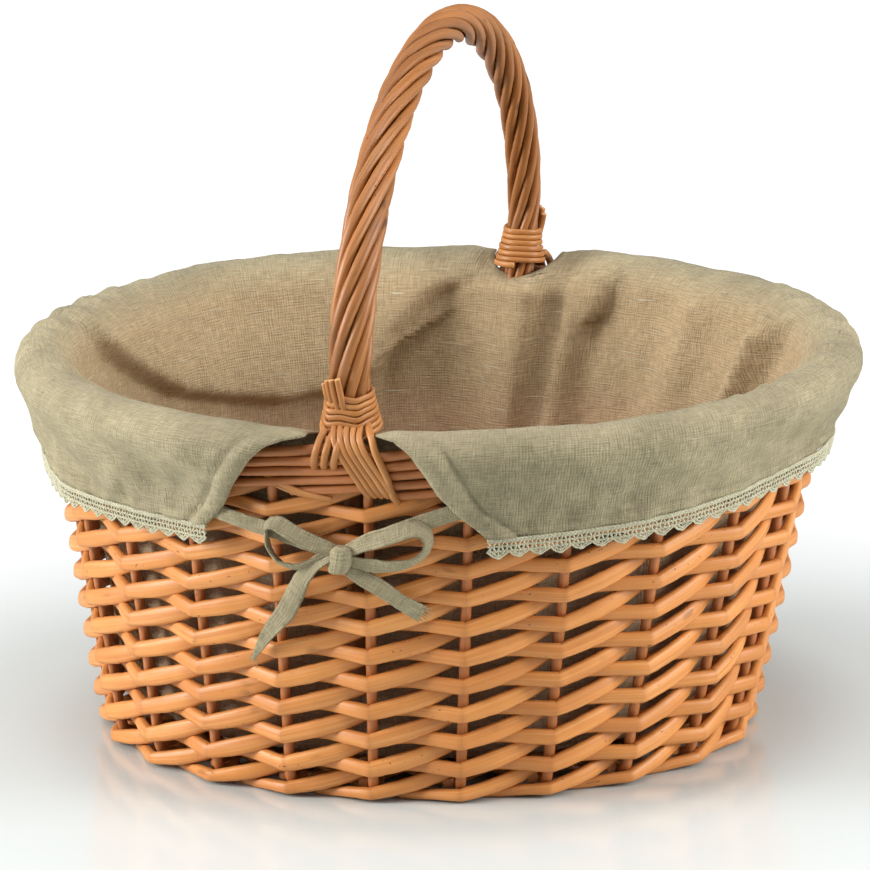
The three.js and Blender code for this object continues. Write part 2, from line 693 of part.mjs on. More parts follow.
// Middle line of the cloth from the bottom corner of the bag, over the rim and down to the hem.
function clothProfile() {
  const profile = CORNER_ROWS.map(([inwards, up, fold, leg]) => ({
    out: -CLOTH_INSIDE - CLOTH_CORNER * inwards, z: CLOTH_FLOOR + CLOTH_CORNER * up, fold, leg, wave: 0, rise: 0,
  }));
  profile.push({ out: -CLOTH_INSIDE, z: EVEN_SPACING_LEVEL, fold: 1, leg: 1, wave: 0, rise: 0 });
  const rimTop = BORDER_TOP + RIM_LIFT;
  const middle = (RIM_OUT - CLOTH_INSIDE) / 2;
  const half = (RIM_OUT + CLOTH_INSIDE) / 2;
  for (let i = 0; i <= RIM_POINTS; i++) {
    const lean = Math.PI * (1 - i / RIM_POINTS);
    const fading = Math.max(0, 1 - 3 * i / RIM_POINTS);
    profile.push({
      out: middle + half * Math.cos(lean),
      z: rimTop - RIM_DEPTH * (1 - Math.sin(lean)),
      fold: RIM_FOLD * fading,
      leg: fading,
      wave: RIM_WAVE * i / RIM_POINTS,
      rise: 0,
    });
  }
  const skirtTop = rimTop - RIM_DEPTH;
  for (const share of SKIRT_ROWS) {
    const z = skirtTop + (HEM_LEVEL - skirtTop) * share;
    const drawn = 0.5 * (1 - Math.cos(Math.PI * share));
    const wave = RIM_WAVE + (1 - RIM_WAVE) * share;
    profile.push({ out: RIM_OUT + (HEM_OUT - RIM_OUT) * drawn, z, fold: 0, leg: 0, wave, rise: share });
  }
  return profile;
}

// The liner before its slits: the profile carried round the oval, with a skin on either side.
function linerBody() {
  const profile = clothProfile();
  const skins = [1, -1].map((side) => profile.map((point, i) => {
    const before = profile[Math.max(0, i - 1)];
    const after = profile[Math.min(profile.length - 1, i + 1)];
    const run = (wallOffset(after.z) + after.out) - (wallOffset(before.z) + before.out);
    const rise = after.z - before.z;
    const length = Math.hypot(run, rise);
    const half = side * CLOTH_THICKNESS / 2;
    return { ...point, out: point.out - half * rise / length, z: point.z + half * run / length, base: point.z };
  }));
  const positions = [];
  const faces = [];
  const loop = [...skins[0], ...skins[1].toReversed()];
  for (const point of loop) {
    for (let j = 0; j < CLOTH_COLUMNS; j++) {
      const share = j / CLOTH_COLUMNS;
      const inward = point.fold * bagFold(share) + point.leg * legBump(share);
      const out = point.out - inward + point.wave * skirtWave(share);
      const rise = point.rise * hemRise(share);
      const place = ovalPoint(angleAt(PERIMETER * share), wallOffset(point.base + rise) + out, point.z + rise);
      positions.push(place.x, place.y, place.z);
    }
  }
  for (let i = 0; i + 1 < loop.length; i++) {
    for (let j = 0; j < CLOTH_COLUMNS; j++) {
      const a = i * CLOTH_COLUMNS + j;
      const b = i * CLOTH_COLUMNS + (j + 1) % CLOTH_COLUMNS;
      faces.push(a, b, b + CLOTH_COLUMNS, a, b + CLOTH_COLUMNS, a + CLOTH_COLUMNS);
    }
  }
  const top = positions.length / 3;
  const bottom = top + 1;
  const lastRow = (loop.length - 1) * CLOTH_COLUMNS;
  positions.push(0, 0, loop[0].z, 0, 0, loop.at(-1).z);
  for (let j = 0; j < CLOTH_COLUMNS; j++) {
    const next = (j + 1) % CLOTH_COLUMNS;
    faces.push(next, j, top, lastRow + j, lastRow + next, bottom);
  }
  return closedGeometry(positions, faces);
}

// Left and right edge of the slit in the skirt at a height, curved from the handle foot to the hem.
function flapEdges(z) {
  const topLevel = BORDER_TOP + RIM_LIFT;
  const down = Math.min(1, Math.max(0, (topLevel - z) / (topLevel - HEM_LEVEL)));
  const spread = Math.sin(down * Math.PI / 2) ** FLAP_CURVE;
  const left = -SLIT_HALF_WIDTH - (FLAP_LEFT - SLIT_HALF_WIDTH) * spread;
  const right = SLIT_HALF_WIDTH + (FLAP_RIGHT - SLIT_HALF_WIDTH) * spread;
  return [left, right];
}

// A block over a stretch of the wall, between two distances out from it, to cut the cloth with.
function wallBlock(levels, edgesAt, inside, outside) {
  return solid(loft(levels.map((z) => {
    const [left, right] = edgesAt(z);
    const pace = (right - left) / BLOCK_COLUMNS;
    const arcs = Array.from({ length: BLOCK_COLUMNS + 1 }, (_, i) => left + pace * i);
    const near = arcs.map((arc) => onWall(arc, z, inside));
    const far = arcs.toReversed().map((arc) => onWall(arc, z, outside));
    return [...near, ...far];
  })));
}

function linerGeometry() {
  const above = BORDER_TOP + 4 * RIM_LIFT;
  const beyond = 4 * RIM_OUT;
  const levels = [...FLAP_LEVELS.map((rise) => HEM_LEVEL + rise), BORDER_TOP, above];
  const skirtCut = wallBlock(levels, flapEdges, BORDER_OUT, beyond);
  const straight = () => [-SLIT_HALF_WIDTH, SLIT_HALF_WIDTH];
  const footCut = wallBlock([BORDER_TOP + RIM_LIFT - SLIT_DEPTH, above], straight, -2 * HANDLE_INSET, beyond);
  const slit = skirtCut.add(footCut);
  return geometryOf(solid(linerBody()).subtract(slit).subtract(slit.rotate([0, 0, 180])));
}

function laceGeometry(first) {
  const start = first * PERIMETER / 2 + flapEdges(HEM_LEVEL)[1];
  const end = (first + 1) * PERIMETER / 2 + flapEdges(HEM_LEVEL)[0];
  const rings = [];
  for (let i = 0; i <= LACE_RINGS; i++) {
    const arc = start + (end - start) * i / LACE_RINGS;
    const out = HEM_OUT + skirtWave(arc / PERIMETER);
    const normal = ovalNormal(angleAt(arc));
    const hem = HEM_LEVEL + hemRise(arc / PERIMETER);
    const centre = ovalPoint(angleAt(arc), wallOffset(hem) + out, hem - LACE_GAP - LACE_DEPTH / 2);
    rings.push(ring(centre, OBLONG, normal, UP, LACE_THICKNESS / 2, LACE_DEPTH / 2));
  }
  return loft(rings);
}

// A tape along points on the wall, turned about its own line by an angle.
function tapeGeometry(points, out, lean) {
  const route = points.map(([arc, z], i) => onWall(arc, z, Array.isArray(out) ? out[i] : out));
  const rings = route.map((point, i) => {
    const along = route[Math.min(i + 1, route.length - 1)].clone().sub(route[Math.max(i - 1, 0)]).normalize();
    const normal = ovalNormal(angleAt(points[i][0]));
    const flat = along.clone().cross(normal).normalize();
    const width = flat.multiplyScalar(Math.cos(lean)).addScaledVector(normal, Math.sin(lean));
    return ring(point, OBLONG, width, along.clone().cross(width), TAPE_WIDTH / 2, TAPE_THICKNESS / 2);
  });
  return loft(rings);
}

// The tie: two tapes from the flaps, knotted under the handle foot in a bow with two loops and two tails.
function tieGeometry() {
  const knot = new THREE.SphereGeometry(1, 6, 4).scale(...KNOT_HALF);
  const at = onWall(0, KNOT_LEVEL, BOW_STAND);
  knot.translate(at.x, at.y, at.z);
  const tailOut = [BOW_STAND, ...TAIL_STAND.map((rise) => TAPE_OUT + rise)];
  const pieces = [
    knot,
    tapeGeometry(LEFT_LOOP, BOW_STAND, LOOP_LEAN),
    tapeGeometry(RIGHT_LOOP, BOW_STAND, LOOP_LEAN),
    tapeGeometry(LEFT_TAIL, tailOut, 0),
    tapeGeometry(RIGHT_TAIL, tailOut, 0),
    tapeGeometry(LEFT_TAPE, TAPE_OUT, 0),
    tapeGeometry(RIGHT_TAPE, TAPE_OUT, 0),
  ];
  return geometryOf(joined(pieces));
}

for (let i = 0; i < STAKES; i++) {
  addPart(numbered('stake', i), stakeGeometry(i), willow(COLOURS.stake));
}
for (let i = 0; i < STAKES; i++) {
  addPart(numbered('weaver', i), weaverGeometry(i), willow(COLOURS.weaver));
}
addPart('base_cross_sticks', baseCrossSticks(), willow(COLOURS.base));
addPart('base_weaver_a', baseWeaverGeometry(0), willow(COLOURS.base));
addPart('base_weaver_b', baseWeaverGeometry(STAKES / 2), willow(COLOURS.base));
addPart('handle_core', handleCoreGeometry(), willow(COLOURS.handle));
for (let i = 0; i < STRAND_RODS; i++) {
  addPart(`handle_strand_${i + 1}`, handleStrandGeometry(i), willow(COLOURS.handle));
}

const front = lashingGeometry(FRONT_GIRTH);
const rear = lashingGeometry(BACK_GIRTH);
addPart('lashing_front', front.geometry, willow(COLOURS.lashing));
addPart('lashing_rear', turnedToBack(rear.geometry), willow(COLOURS.lashing));
console.log(`least gap between the turns of a lashing: ${Math.min(front.gap, rear.gap).toFixed(2)} mm`);

addPart('liner', linerGeometry(), fabric(COLOURS.linen));
addPart('lace_right', laceGeometry(0), fabric(COLOURS.lace));
addPart('lace_left', laceGeometry(1), fabric(COLOURS.lace));
const tie = tieGeometry();
addPart('tie_front', tie, fabric(COLOURS.linen));
addPart('tie_rear', turnedToBack(tie), fabric(COLOURS.linen));

export default basket;
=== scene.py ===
"""Looks of an oval willow basket with a roped bow handle and a linen liner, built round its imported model.

Shapes are worked out in millimetres, as functions on grids, and put into the meshes in metres.
"""

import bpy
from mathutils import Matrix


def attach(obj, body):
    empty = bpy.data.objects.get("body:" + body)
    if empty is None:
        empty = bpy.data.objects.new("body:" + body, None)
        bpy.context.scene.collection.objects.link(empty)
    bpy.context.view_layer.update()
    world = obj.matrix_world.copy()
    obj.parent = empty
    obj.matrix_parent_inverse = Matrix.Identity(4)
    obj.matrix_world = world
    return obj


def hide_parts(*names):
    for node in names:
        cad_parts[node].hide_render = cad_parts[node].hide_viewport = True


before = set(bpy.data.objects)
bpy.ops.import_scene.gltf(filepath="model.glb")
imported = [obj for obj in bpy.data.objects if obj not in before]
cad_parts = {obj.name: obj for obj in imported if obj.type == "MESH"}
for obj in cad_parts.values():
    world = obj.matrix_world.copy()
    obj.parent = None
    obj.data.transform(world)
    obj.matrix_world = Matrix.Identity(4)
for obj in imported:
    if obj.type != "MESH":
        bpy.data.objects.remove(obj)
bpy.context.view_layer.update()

import math

import bpy
import numpy as np
from mathutils import Matrix, Vector

bl_info = {
    "name": "Handled Willow Basket",
    "version": (1, 0, 0),
    "blender": (4, 5, 0),
    "location": "View3D > Sidebar > Basket",
    "description": "Builds a randed willow basket, its roped handle and its lace-edged linen liner",
    "category": "Add Mesh",
}

# The oval wall, in millimetres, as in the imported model.
HALF_LENGTH = 182.0
HALF_WIDTH = 150.0
WALL_SPREAD = 2.1  # outwards at the floor
WALL_SLOPE = 0.18  # outwards for each millimetre up
WALL_LEAN = 0.06  # to the right for each millimetre up, about LEAN_LEVEL
LEAN_LEVEL = 213.7
CORNER_HEIGHT = 24.0  # below it the wall curves in
CORNER_ROUND = 20.0
EVEN_SPACING_LEVEL = 112.0  # arcs are measured round the wall at this height

# Stakes and the weavers between them, whose places are counted in stakes from their own.
STAKES = 22
STAKE_SHIFT = 13.0  # arc from the front to the first stake
STAKE_RADIUS = 3.1
STAKE_CLEARANCE = 0.1
FLOOR_CLEARANCE = 0.4
WEAVER_STEPS = 22  # stakes that a weaver passes
WEAVER_FROM = 0.3  # where it starts
WEAVER_STUB = 0.13  # how far it goes on past the last one
WEAVER_TAPER = 0.14  # share of its size that it loses on its second half
WEAVER_ROOM = 14.0  # below this height it stays as far out as it is there
GROWN_AT = 2.2  # from here on it has its full height and bend
STEP_RISE = 8.8  # its climb at each stake
WEAVE_START = -1.7  # height of the climb's line at its own stake
CREASE_DROP = 3.9  # how far the crease lies below that line
CREASE_SHARPNESS = 0.9992  # 1 would be a plain triangle wave
STAYS_OUT = 0.28  # how much the wave leans to the way in
BEND_OUT = 7.0  # height above the crease on the way out
BEND_OUT_TURN = 1.848
BEND_IN = 6.73  # the same on the way in
BEND_IN_POWER = 1.15
# A weaver's height as a share, by its place in stakes from the crease over an outer stake.
HEIGHT_BY_PHASE = ([-1, -0.75, -0.3, 0, 0.12, 0.35, 0.7, 1],
                   [0.64, 0.70, 0.82, 0.86, 0.94, 1.02, 0.97, 0.64])

# A rod's ends, as shares of its half size, how far its size strays along it, and its grain and gloss.
BEVEL_LENGTH = 0.18
BEVEL_SIZE = 0.84  # size of the cut end
SLOW_SWELL = 0.035
QUICK_SWELL = 0.02
GRAIN_SHIFT = 0.53
WILLOW_ROUGHNESS = 0.35

# Stakes and border. The foot is given as distances outside the base oval with heights.
STAKE_FOOT = ((-12.0, 8.0), (-4.0, 6.4), (1.8, 8.0))
BORDER_SPANS = 5  # stakes that a turned-down top passes
BORDER_DROP = 6.1  # its drop at each of them
BORDER_OUT = 6.3
BORDER_LEVEL = 220.95
BORDER_TOP = 223.7
BORDER_SHORT = 0.25  # share of the last span left out
BORDER_TAPER = 0.17
BEND_RADIUS = 7.0

# Base.
BASE_LEVEL = 9.0
BASE_SWING = 7.5  # up and down from BASE_LEVEL
BASE_SHARPNESS = 0.975
BASE_TURNS = 3.5
BASE_PITCH = 8.5
BASE_ROD_WIDTH = 7.8
BASE_ROD_HEIGHT = 4.0
BASE_EDGE = 13.0  # from the oval's edge inwards to the sticks' knees
CROSS_REACH = 3
CROSS_STICK_PITCH = 22.0
CROSS_STICK_HEIGHT = 5.4
LONG_STICKS = 4
LONG_STICK_PITCH = 14.0
LONG_STICK_HEIGHT = 4.2
STICK_HALF_WIDTH = 3.3
SLATH_MARGIN = 8.0
STICK_ASIDE = 6.8  # a stick ends this far beside its stake

# Handle.
HANDLE_TOP = 409.0
HANDLE_FOOT_LEVEL = 259.0
HANDLE_STRAIGHT_TO = 250.0
HANDLE_SHAPE = 1.96  # power of the bow's superellipse
HANDLE_LEAN_X = -6.0
HANDLE_LEAN_Y = 5.0
FRONT_GIRTH = 1.12
BACK_GIRTH = 0.86
FOOT_WAIST = 0.14  # share that the lashing draws in
WAIST_REACH = 75.0
HANDLE_RADIUS = 11.56
HANDLE_REACH_DOWN = 70.0  # height of the core's ends
HANDLE_INSET = 16.05  # its middle line, from the wall's middle inwards
CORE_RADIUS = 4.5
STRANDS = 8
STRAND_RING = 8.56  # middle line of the handle to that of a roped rod
STRAND_SPACING = 6.6
STRAND_TURN = 187.0  # length of one full turn
STRAND_START_LEVEL = 219.7

# Lashings. Corners are angles about the leg; cut ends are places in rods and heights above the coil.
LASHING_TURNS = 6.5
LASHING_LOW = 227.05
LASHING_HIGH = 247.75
LASHING_FLARE = 4.2  # widening of the cone
LASHING_CORNERS = (-0.62, 0.5)
LASHING_CORNER_WIDTH = 0.30
CUT_ENDS = ((-3.2, 8.0), (-2.2, 10.5), (-1.2, 11.5), (-0.15, 12.5))

# Liner.
CLOTH_FLOOR = 19.6
CLOTH_INSIDE = 12.0  # from the wall's middle inwards
CLOTH_CORNER = 14.0
RIM_TOP = 230.2
RIM_DEPTH = 16.5
RIM_OUT = 22.0  # from the wall's middle outwards
PUCKER_OUT = 2.8
PUCKER_UP = 2.6
HEM_LEVEL = 167.7
HEM_RISE = 12.0  # at the oval's right end
HEM_RISE_REACH = 0.17
HEM_OUT = 13.4
HEM_WIDTH = 8.0
SKIRT_WAVES = 10
SKIRT_WAVE_DEPTH = 1.6
SKIRT_HOLLOW = 3.0  # how far the skirt is drawn in between rim and hem
DENT_DEPTH = 2.6
GATHER_DEPTH = 1.3
PAINTED_BOUNCE_LEVEL = 162.0  # below it the bag takes a painted warm bounce light from the willow
LEG_LEVELS = (150.0, 205.0, 226.0)
LEG_BUMPS = (10.5, 12.0, 17.0)  # how far the handle pushes the cloth in, at LEG_LEVELS
LEG_REACH = 46.0
SLIT_HALF_WIDTH = 18.0
SLIT_FOOT = 221.0
SIDE_HEM_LEFT = 13.0
SIDE_HEM_RIGHT = 16.0
# The flaps' edges: distances from the slit's middle, by shares of the way from the rim to the hem.
FLAP_LEFT = 74.5
FLAP_RIGHT = 76.5
FLAP_EDGE_LEFT = ([0, 0.03, 0.10, 0.24, 0.42, 0.60, 0.78, 1], [17, 26, 35, 42, 49, 55.5, 63, FLAP_LEFT])
FLAP_EDGE_RIGHT = ([0, 0.02, 0.07, 0.13, 0.33, 0.57, 0.74, 1], [20, 28, 34, 38, 45, 52, 59.5, FLAP_RIGHT])

# Threads, in metres, and the painted warm bounce light of the willow on the cloth near the bag's bottom.
THREAD_PITCH = 0.0010
PLY_PITCH = 0.0011
PAINTED_BOUNCE_BROWN = (0.54, 0.37, 0.23)

# Lace, by drops below the hem: chains with their radii, and the scallops.
LACE_CHAINS = ((0.5, 0.85), (1.7, 0.7), (4.6, 0.66), (7.5, 0.75))
SCALLOP_PITCH = 10.9
SCALLOP_TOP = 7.6

# The bow's knot: power, half sizes and tilt, and its place as arc, height and distance outside the wall.
KNOT_POWER = 4.2
KNOT_HALF = (5.6, 5.0, 8.6)
KNOT_TILT = 0.15
KNOT_AT = (1.6, 155.0, 16.8)

# Floor, light and camera, in metres. The lens and the aim are measured on the photograph, in its pixels.
FLOOR_REACH = 12.0
FLOOR_COLOUR = (0.61, 0.655, 0.635, 1)
SKY_STRENGTH = 0.42
LAMPS = (("key_lamp", (-2.45, -1.05, 1.05), (0, 0, 0.16), 1.1, 92),
         ("side_lamp", (2.5, 0.05, 0.95), (0, 0, 0.15), 1.1, 62),
         ("top_lamp", (0.1, -0.5, 2.35), (0, 0, 0.2), 1.5, 32))
CAMERA_DISTANCE = 6.0
CAMERA_RISE = math.radians(16.0)
CAMERA_TURN = math.radians(-16.4)
CAMERA_ROLL = math.radians(1.85)
CAMERA_TARGET = (0, 0, 0.170)
SENSOR_WIDTH = 36.0
PHOTO_PIXELS = 870
FOCAL_PIXELS = 10424
PIXELS_PER_METRE = 1737
AIM_PIXELS = (4.4, 3.0)

TURN = 2 * math.pi


# Shapes.


def wall_offset(z):
    """Outward offset of the wall from the base oval: a straight slope, less a square near the floor."""
    below = np.maximum(0.0, CORNER_HEIGHT - z)
    return WALL_SPREAD + WALL_SLOPE * z - below * below / (2 * CORNER_ROUND)


def unit(vectors):
    """Vectors brought to length one."""
    return vectors / np.maximum(np.linalg.norm(vectors, axis=-1, keepdims=True), 1e-9)


def oval_normal(angle):
    """Outward direction of the base ellipse at an angle."""
    return unit(np.stack([HALF_WIDTH * np.cos(angle), HALF_LENGTH * np.sin(angle), 0 * angle], -1))


def oval_point(angle, offset, z):
    """Point of the base ellipse at an angle, moved along its normal by an offset, at a height."""
    angle, offset, z = np.broadcast_arrays(angle, offset, z)
    normal = oval_normal(angle)
    x = HALF_LENGTH * np.cos(angle) + offset * normal[..., 0]
    y = HALF_WIDTH * np.sin(angle) + offset * normal[..., 1]
    return np.stack([x, y, z + 0 * x], -1)


def normal_near(path):
    """Outward direction of the oval beside each point of a path."""
    return oval_normal(np.arctan2(path[:, 1] * HALF_LENGTH, path[:, 0] * HALF_WIDTH))


def lengths_along(path):
    """Length along a line of points, at each of them."""
    return np.concatenate([[0.0], np.cumsum(np.linalg.norm(np.diff(path, axis=0), axis=1))])


def columns_at(at, run, table):
    """A table of three columns, read between its rows at places along it."""
    return np.stack([np.interp(at, run, table[:, k]) for k in range(3)], -1)


OVAL_ANGLES = np.linspace(0, TURN, 2881) - math.pi / 2
OVAL_ARCS = lengths_along(oval_point(OVAL_ANGLES, float(wall_offset(np.float64(EVEN_SPACING_LEVEL))), 0.0))
PERIMETER = float(OVAL_ARCS[-1])
SPACING = PERIMETER / STAKES


def angle_at(arc):
    """Angle on the oval for an arc length measured from the front, counter-clockwise."""
    arc = np.asarray(arc, float)
    rounds = np.floor(arc / PERIMETER)
    return TURN * rounds + np.interp(arc - rounds * PERIMETER, OVAL_ARCS, OVAL_ANGLES)


def on_wall(arc, z, out):
    """Point at an arc and height, at a distance outside the sloping wall."""
    return oval_point(angle_at(arc), wall_offset(np.asarray(z, float)) + out, z)


def spline(points, count, smooth=0.0):
    """Even points along a smooth line through a few: a cubic by arc length between each two, whose slopes are
    the mean slopes at its ends, then softened over a length."""
    points = np.asarray(points, float)
    run = lengths_along(points)
    slope = np.gradient(points, run, axis=0)
    at = np.linspace(0, run[-1], count)
    i = np.clip(np.searchsorted(run, at, "right") - 1, 0, len(run) - 2)
    gap = (run[i + 1] - run[i])[:, None]
    t = ((at - run[i]) / gap[:, 0])[:, None]
    path = ((2 * t**3 - 3 * t**2 + 1) * points[i] + (t**3 - 2 * t**2 + t) * gap * slope[i]
            + (3 * t**2 - 2 * t**3) * points[i + 1] + (t**3 - t**2) * gap * slope[i + 1])
    return soften(path, smooth / (run[-1] / (count - 1))) if smooth else path


def soften(path, width):
    """Gaussian mean of a path's points, its ends held by reflection through them."""
    reach = max(1, int(3 * width))
    weights = np.exp(-0.5 * (np.arange(-reach, reach + 1) / max(width, 1e-6)) ** 2)
    weights /= weights.sum()
    before = 2 * path[0] - path[reach:0:-1]
    after = 2 * path[-1] - path[-2:-reach - 2:-1]
    full = np.concatenate([before, path, after])
    return np.stack([np.convolve(full[:, k], weights, "valid") for k in range(path.shape[1])], 1)


def wander(x, seed, scale, octaves=3):
    """Smooth seeded noise about zero along a line: sines of rising pitch and falling depth, random phases."""
    rng = np.random.default_rng(seed)
    total = 0 * x
    for k in range(octaves):
        pitch = 2.0**k * (0.8 + 0.4 * rng.random()) / scale
        total = total + np.sin(TURN * (x * pitch + rng.random())) / 1.7**k
    return total / octaves**0.5


def ripples(u, v, seed, scale_u, scale_v, octaves=4, around=None):
    """Smooth seeded noise on a surface: sines along random slants, of rising pitch and falling depth."""
    rng = np.random.default_rng(seed)
    total = 0 * u
    for k in range(octaves):
        for _ in range(3):
            along = 1.8**k * rng.uniform(0.5, 1.2) / scale_u * rng.choice([-1, 1])
            if around:
                along = round(along * around) / around
            across = 1.8**k * rng.uniform(-1, 1) / scale_v
            total = total + np.sin(TURN * (along * u + across * v + rng.random())) / 1.6**k
    return total / 3


def bump(x, halfwidth):
    """A smooth hump: one at zero, none past the given distance."""
    near = np.clip(1 - np.abs(x) / halfwidth, 0, 1)
    return near * near * (3 - 2 * near)


def spread_over(count, value):
    """One number, or one for each of them, as an array of its own."""
    return np.broadcast_to(np.asarray(value, float), (count,)).copy()


class Surface:
    """Points, faces, the faces' UVs in metres, and two values for each point: `tone`, paler or darker
    willow, partly painted light on the weavers, and on the liner a painted warm bounce light from the
    willow where it is below 0.5, and `shade`, which darkens where it is above zero, as painted shade on
    the weavers, stakes and liner and as darker knots on the handle, and marks pale cut ends or painted
    shade in the hems' dents below it."""

    def __init__(self, points, quads, quad_uvs, tris=None, tri_uvs=None, tone=0.5, shade=0.0):
        self.points = np.asarray(points, float).reshape(-1, 3)
        self.quads = np.asarray(quads, int).reshape(-1, 4)
        self.quad_uvs = np.asarray(quad_uvs, float).reshape(-1, 4, 2)
        self.tris = np.zeros((0, 3), int) if tris is None else np.asarray(tris, int).reshape(-1, 3)
        self.tri_uvs = np.zeros((0, 3, 2)) if tri_uvs is None else np.asarray(tri_uvs, float)
        self.tone = spread_over(len(self.points), tone)
        self.shade = spread_over(len(self.points), shade)

    def turned(self):
        """The same surface at the back of the basket, turned half round the vertical axis."""
        return Surface(self.points * [-1, -1, 1], self.quads, self.quad_uvs, self.tris, self.tri_uvs,
                       self.tone, self.shade)


def stacked(surfaces):
    """Many surfaces as one."""
    shifts = np.cumsum([0] + [len(x.points) for x in surfaces[:-1]])
    return Surface(
        np.concatenate([x.points for x in surfaces]),
        np.concatenate([x.quads + k for x, k in zip(surfaces, shifts)]),
        np.concatenate([x.quad_uvs for x in surfaces]),
        np.concatenate([x.tris + k for x, k in zip(surfaces, shifts)]),
        np.concatenate([x.tri_uvs for x in surfaces]),
        np.concatenate([x.tone for x in surfaces]),
        np.concatenate([x.shade for x in surfaces]))


def grid_faces(rows, columns, wrap):
    """Quads of a grid of points, and the corner places (row, column) of each, for its UVs."""
    last = columns if wrap else columns - 1
    i, j = np.meshgrid(np.arange(rows - 1), np.arange(last), indexing="ij")
    i, j = i.ravel(), j.ravel()
    corners = np.stack([i, j, i, j + 1, i + 1, j + 1, i + 1, j], 1).reshape(-1, 4, 2)
    return corners[..., 0] * columns + corners[..., 1] % columns, corners


def end_fans(rows, ring):
    """Triangles that close both ends of a grid of rings; their poles are the two points after the grid."""
    j = np.arange(ring)
    after = (j + 1) % ring
    last = (rows - 1) * ring
    return np.concatenate([
        np.stack([np.full(ring, rows * ring), after, j], 1),
        np.stack([np.full(ring, rows * ring + 1), last + j, last + after], 1)])


def tube(path, across, wide, high, sides=12, square=2.3, tone=0.5, shade=0.0, seed=None):
    """A rod: a slightly squared round section carried along a path, closed at each end by a bevel and a pole.

    The section is |a|^square + |b|^square = 1, with `a` along `across`, made square to the path, in units
    of `wide`, and `b` along their cross product, in units of `high`. With a seed its size wanders, and its
    grain starts at a place of its own."""
    path = np.asarray(path, float)
    count = len(path)
    wide, high, shade, tone = (spread_over(count, value) for value in (wide, high, shade, tone))
    along = unit(np.gradient(path, axis=0))
    across = np.broadcast_to(np.asarray(across, float), path.shape)
    first = unit(across - (across * along).sum(-1, keepdims=True) * along)
    second = np.cross(along, first)
    round_it = TURN * np.arange(sides) / sides
    u = np.sign(np.cos(round_it)) * np.abs(np.cos(round_it)) ** (2 / square)
    v = np.sign(np.sin(round_it)) * np.abs(np.sin(round_it)) ** (2 / square)
    size = np.ones(count)
    run = lengths_along(path)
    if seed is not None:
        size = size + SLOW_SWELL * wander(run, seed, 34.0) + QUICK_SWELL * wander(run, seed + 1, 9.0)
    rings = (path[:, None] + first[:, None] * (u[None, :, None] * (wide * size)[:, None, None])
             + second[:, None] * (v[None, :, None] * (high * size)[:, None, None]))
    ends = []
    for k, way in ((0, -1.0), (-1, 1.0)):
        push = way * BEVEL_LENGTH * min(wide[k], high[k]) * along[k]
        ends.append((path[k] + push) + (rings[k] - path[k]) * BEVEL_SIZE)
    rings = np.concatenate([ends[0][None], rings, ends[1][None]])
    run = np.concatenate([[run[0] - 0.3], run, [run[-1] + 0.3]])
    rows = len(rings)
    quads, corners = grid_faces(rows, sides, True)
    girth = TURN * float(np.mean((wide + high) / 2))
    uvs = np.stack([run[corners[..., 0]], girth * corners[..., 1] / sides], -1) / 1000
    uvs[..., 0] += GRAIN_SHIFT * ((seed or 0) % 61)
    poles = np.stack([ends[0].mean(0), ends[1].mean(0)])
    points = np.concatenate([rings.reshape(-1, 3), poles])
    spread = np.stack([u, v], 1) * float(np.mean(wide)) / 1000
    beside, middle = np.roll(spread, -1, 0), np.zeros((sides, 2))
    tri_uvs = np.concatenate([np.stack([middle, beside, spread], 1), np.stack([middle, spread, beside], 1)])
    shades = np.concatenate([np.repeat([-1.0, *shade, -1.0], sides), [-1.0, -1.0]])
    tones = np.concatenate([np.repeat([tone[0], *tone, tone[-1]], sides), [tone[0], tone[-1]]])
    return Surface(points, quads, uvs, end_fans(rows, sides), tri_uvs, tones, shades)


def rod_along(points, across, radius, count, smooth=0.0, sides=14, **more):
    """A rod of about one radius through a few points."""
    return tube(spline(points, count, smooth), across, radius, radius, sides=sides, **more)


def rod_on_wall(points, facing, radius, count, smooth, **more):
    """A rod through points given as (arc, height, distance outside the wall), facing out at one arc."""
    arcs, levels, outs = np.array(points).T
    path, across = on_wall(arcs, levels, outs), oval_normal(angle_at(facing))
    return rod_along(path, across, radius, count, smooth, **more)


def piece(name, surface, finish, replaces=()):
    """Puts a surface into a mesh object at the origin, in metres, with its UVs and point values.

    The whole basket leans: x grows by a share of the height over the level where it is centred."""
    mesh = bpy.data.meshes.new(name)
    leaned = surface.points + [1.0, 0.0, 0.0] * (WALL_LEAN * (surface.points[:, 2:] - LEAN_LEVEL))
    mesh.from_pydata((leaned / 1000).tolist(), [], surface.quads.tolist() + surface.tris.tolist())
    mesh.polygons.foreach_set("use_smooth", np.ones(len(mesh.polygons), bool))
    uvs = np.concatenate([surface.quad_uvs.reshape(-1), surface.tri_uvs.reshape(-1)])
    mesh.uv_layers.new(name="UVMap").data.foreach_set("uv", uvs)
    for label, values in (("tone", surface.tone), ("shade", surface.shade)):
        mesh.attributes.new(label, "FLOAT", "POINT").data.foreach_set("value", values)
    mesh.update()
    thing = bpy.data.objects.new(name, mesh)
    bpy.context.scene.collection.objects.link(thing)
    mesh.materials.append(finish)
    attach(thing, "root")
    if replaces:
        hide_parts(*replaces)
    return thing


# Materials.


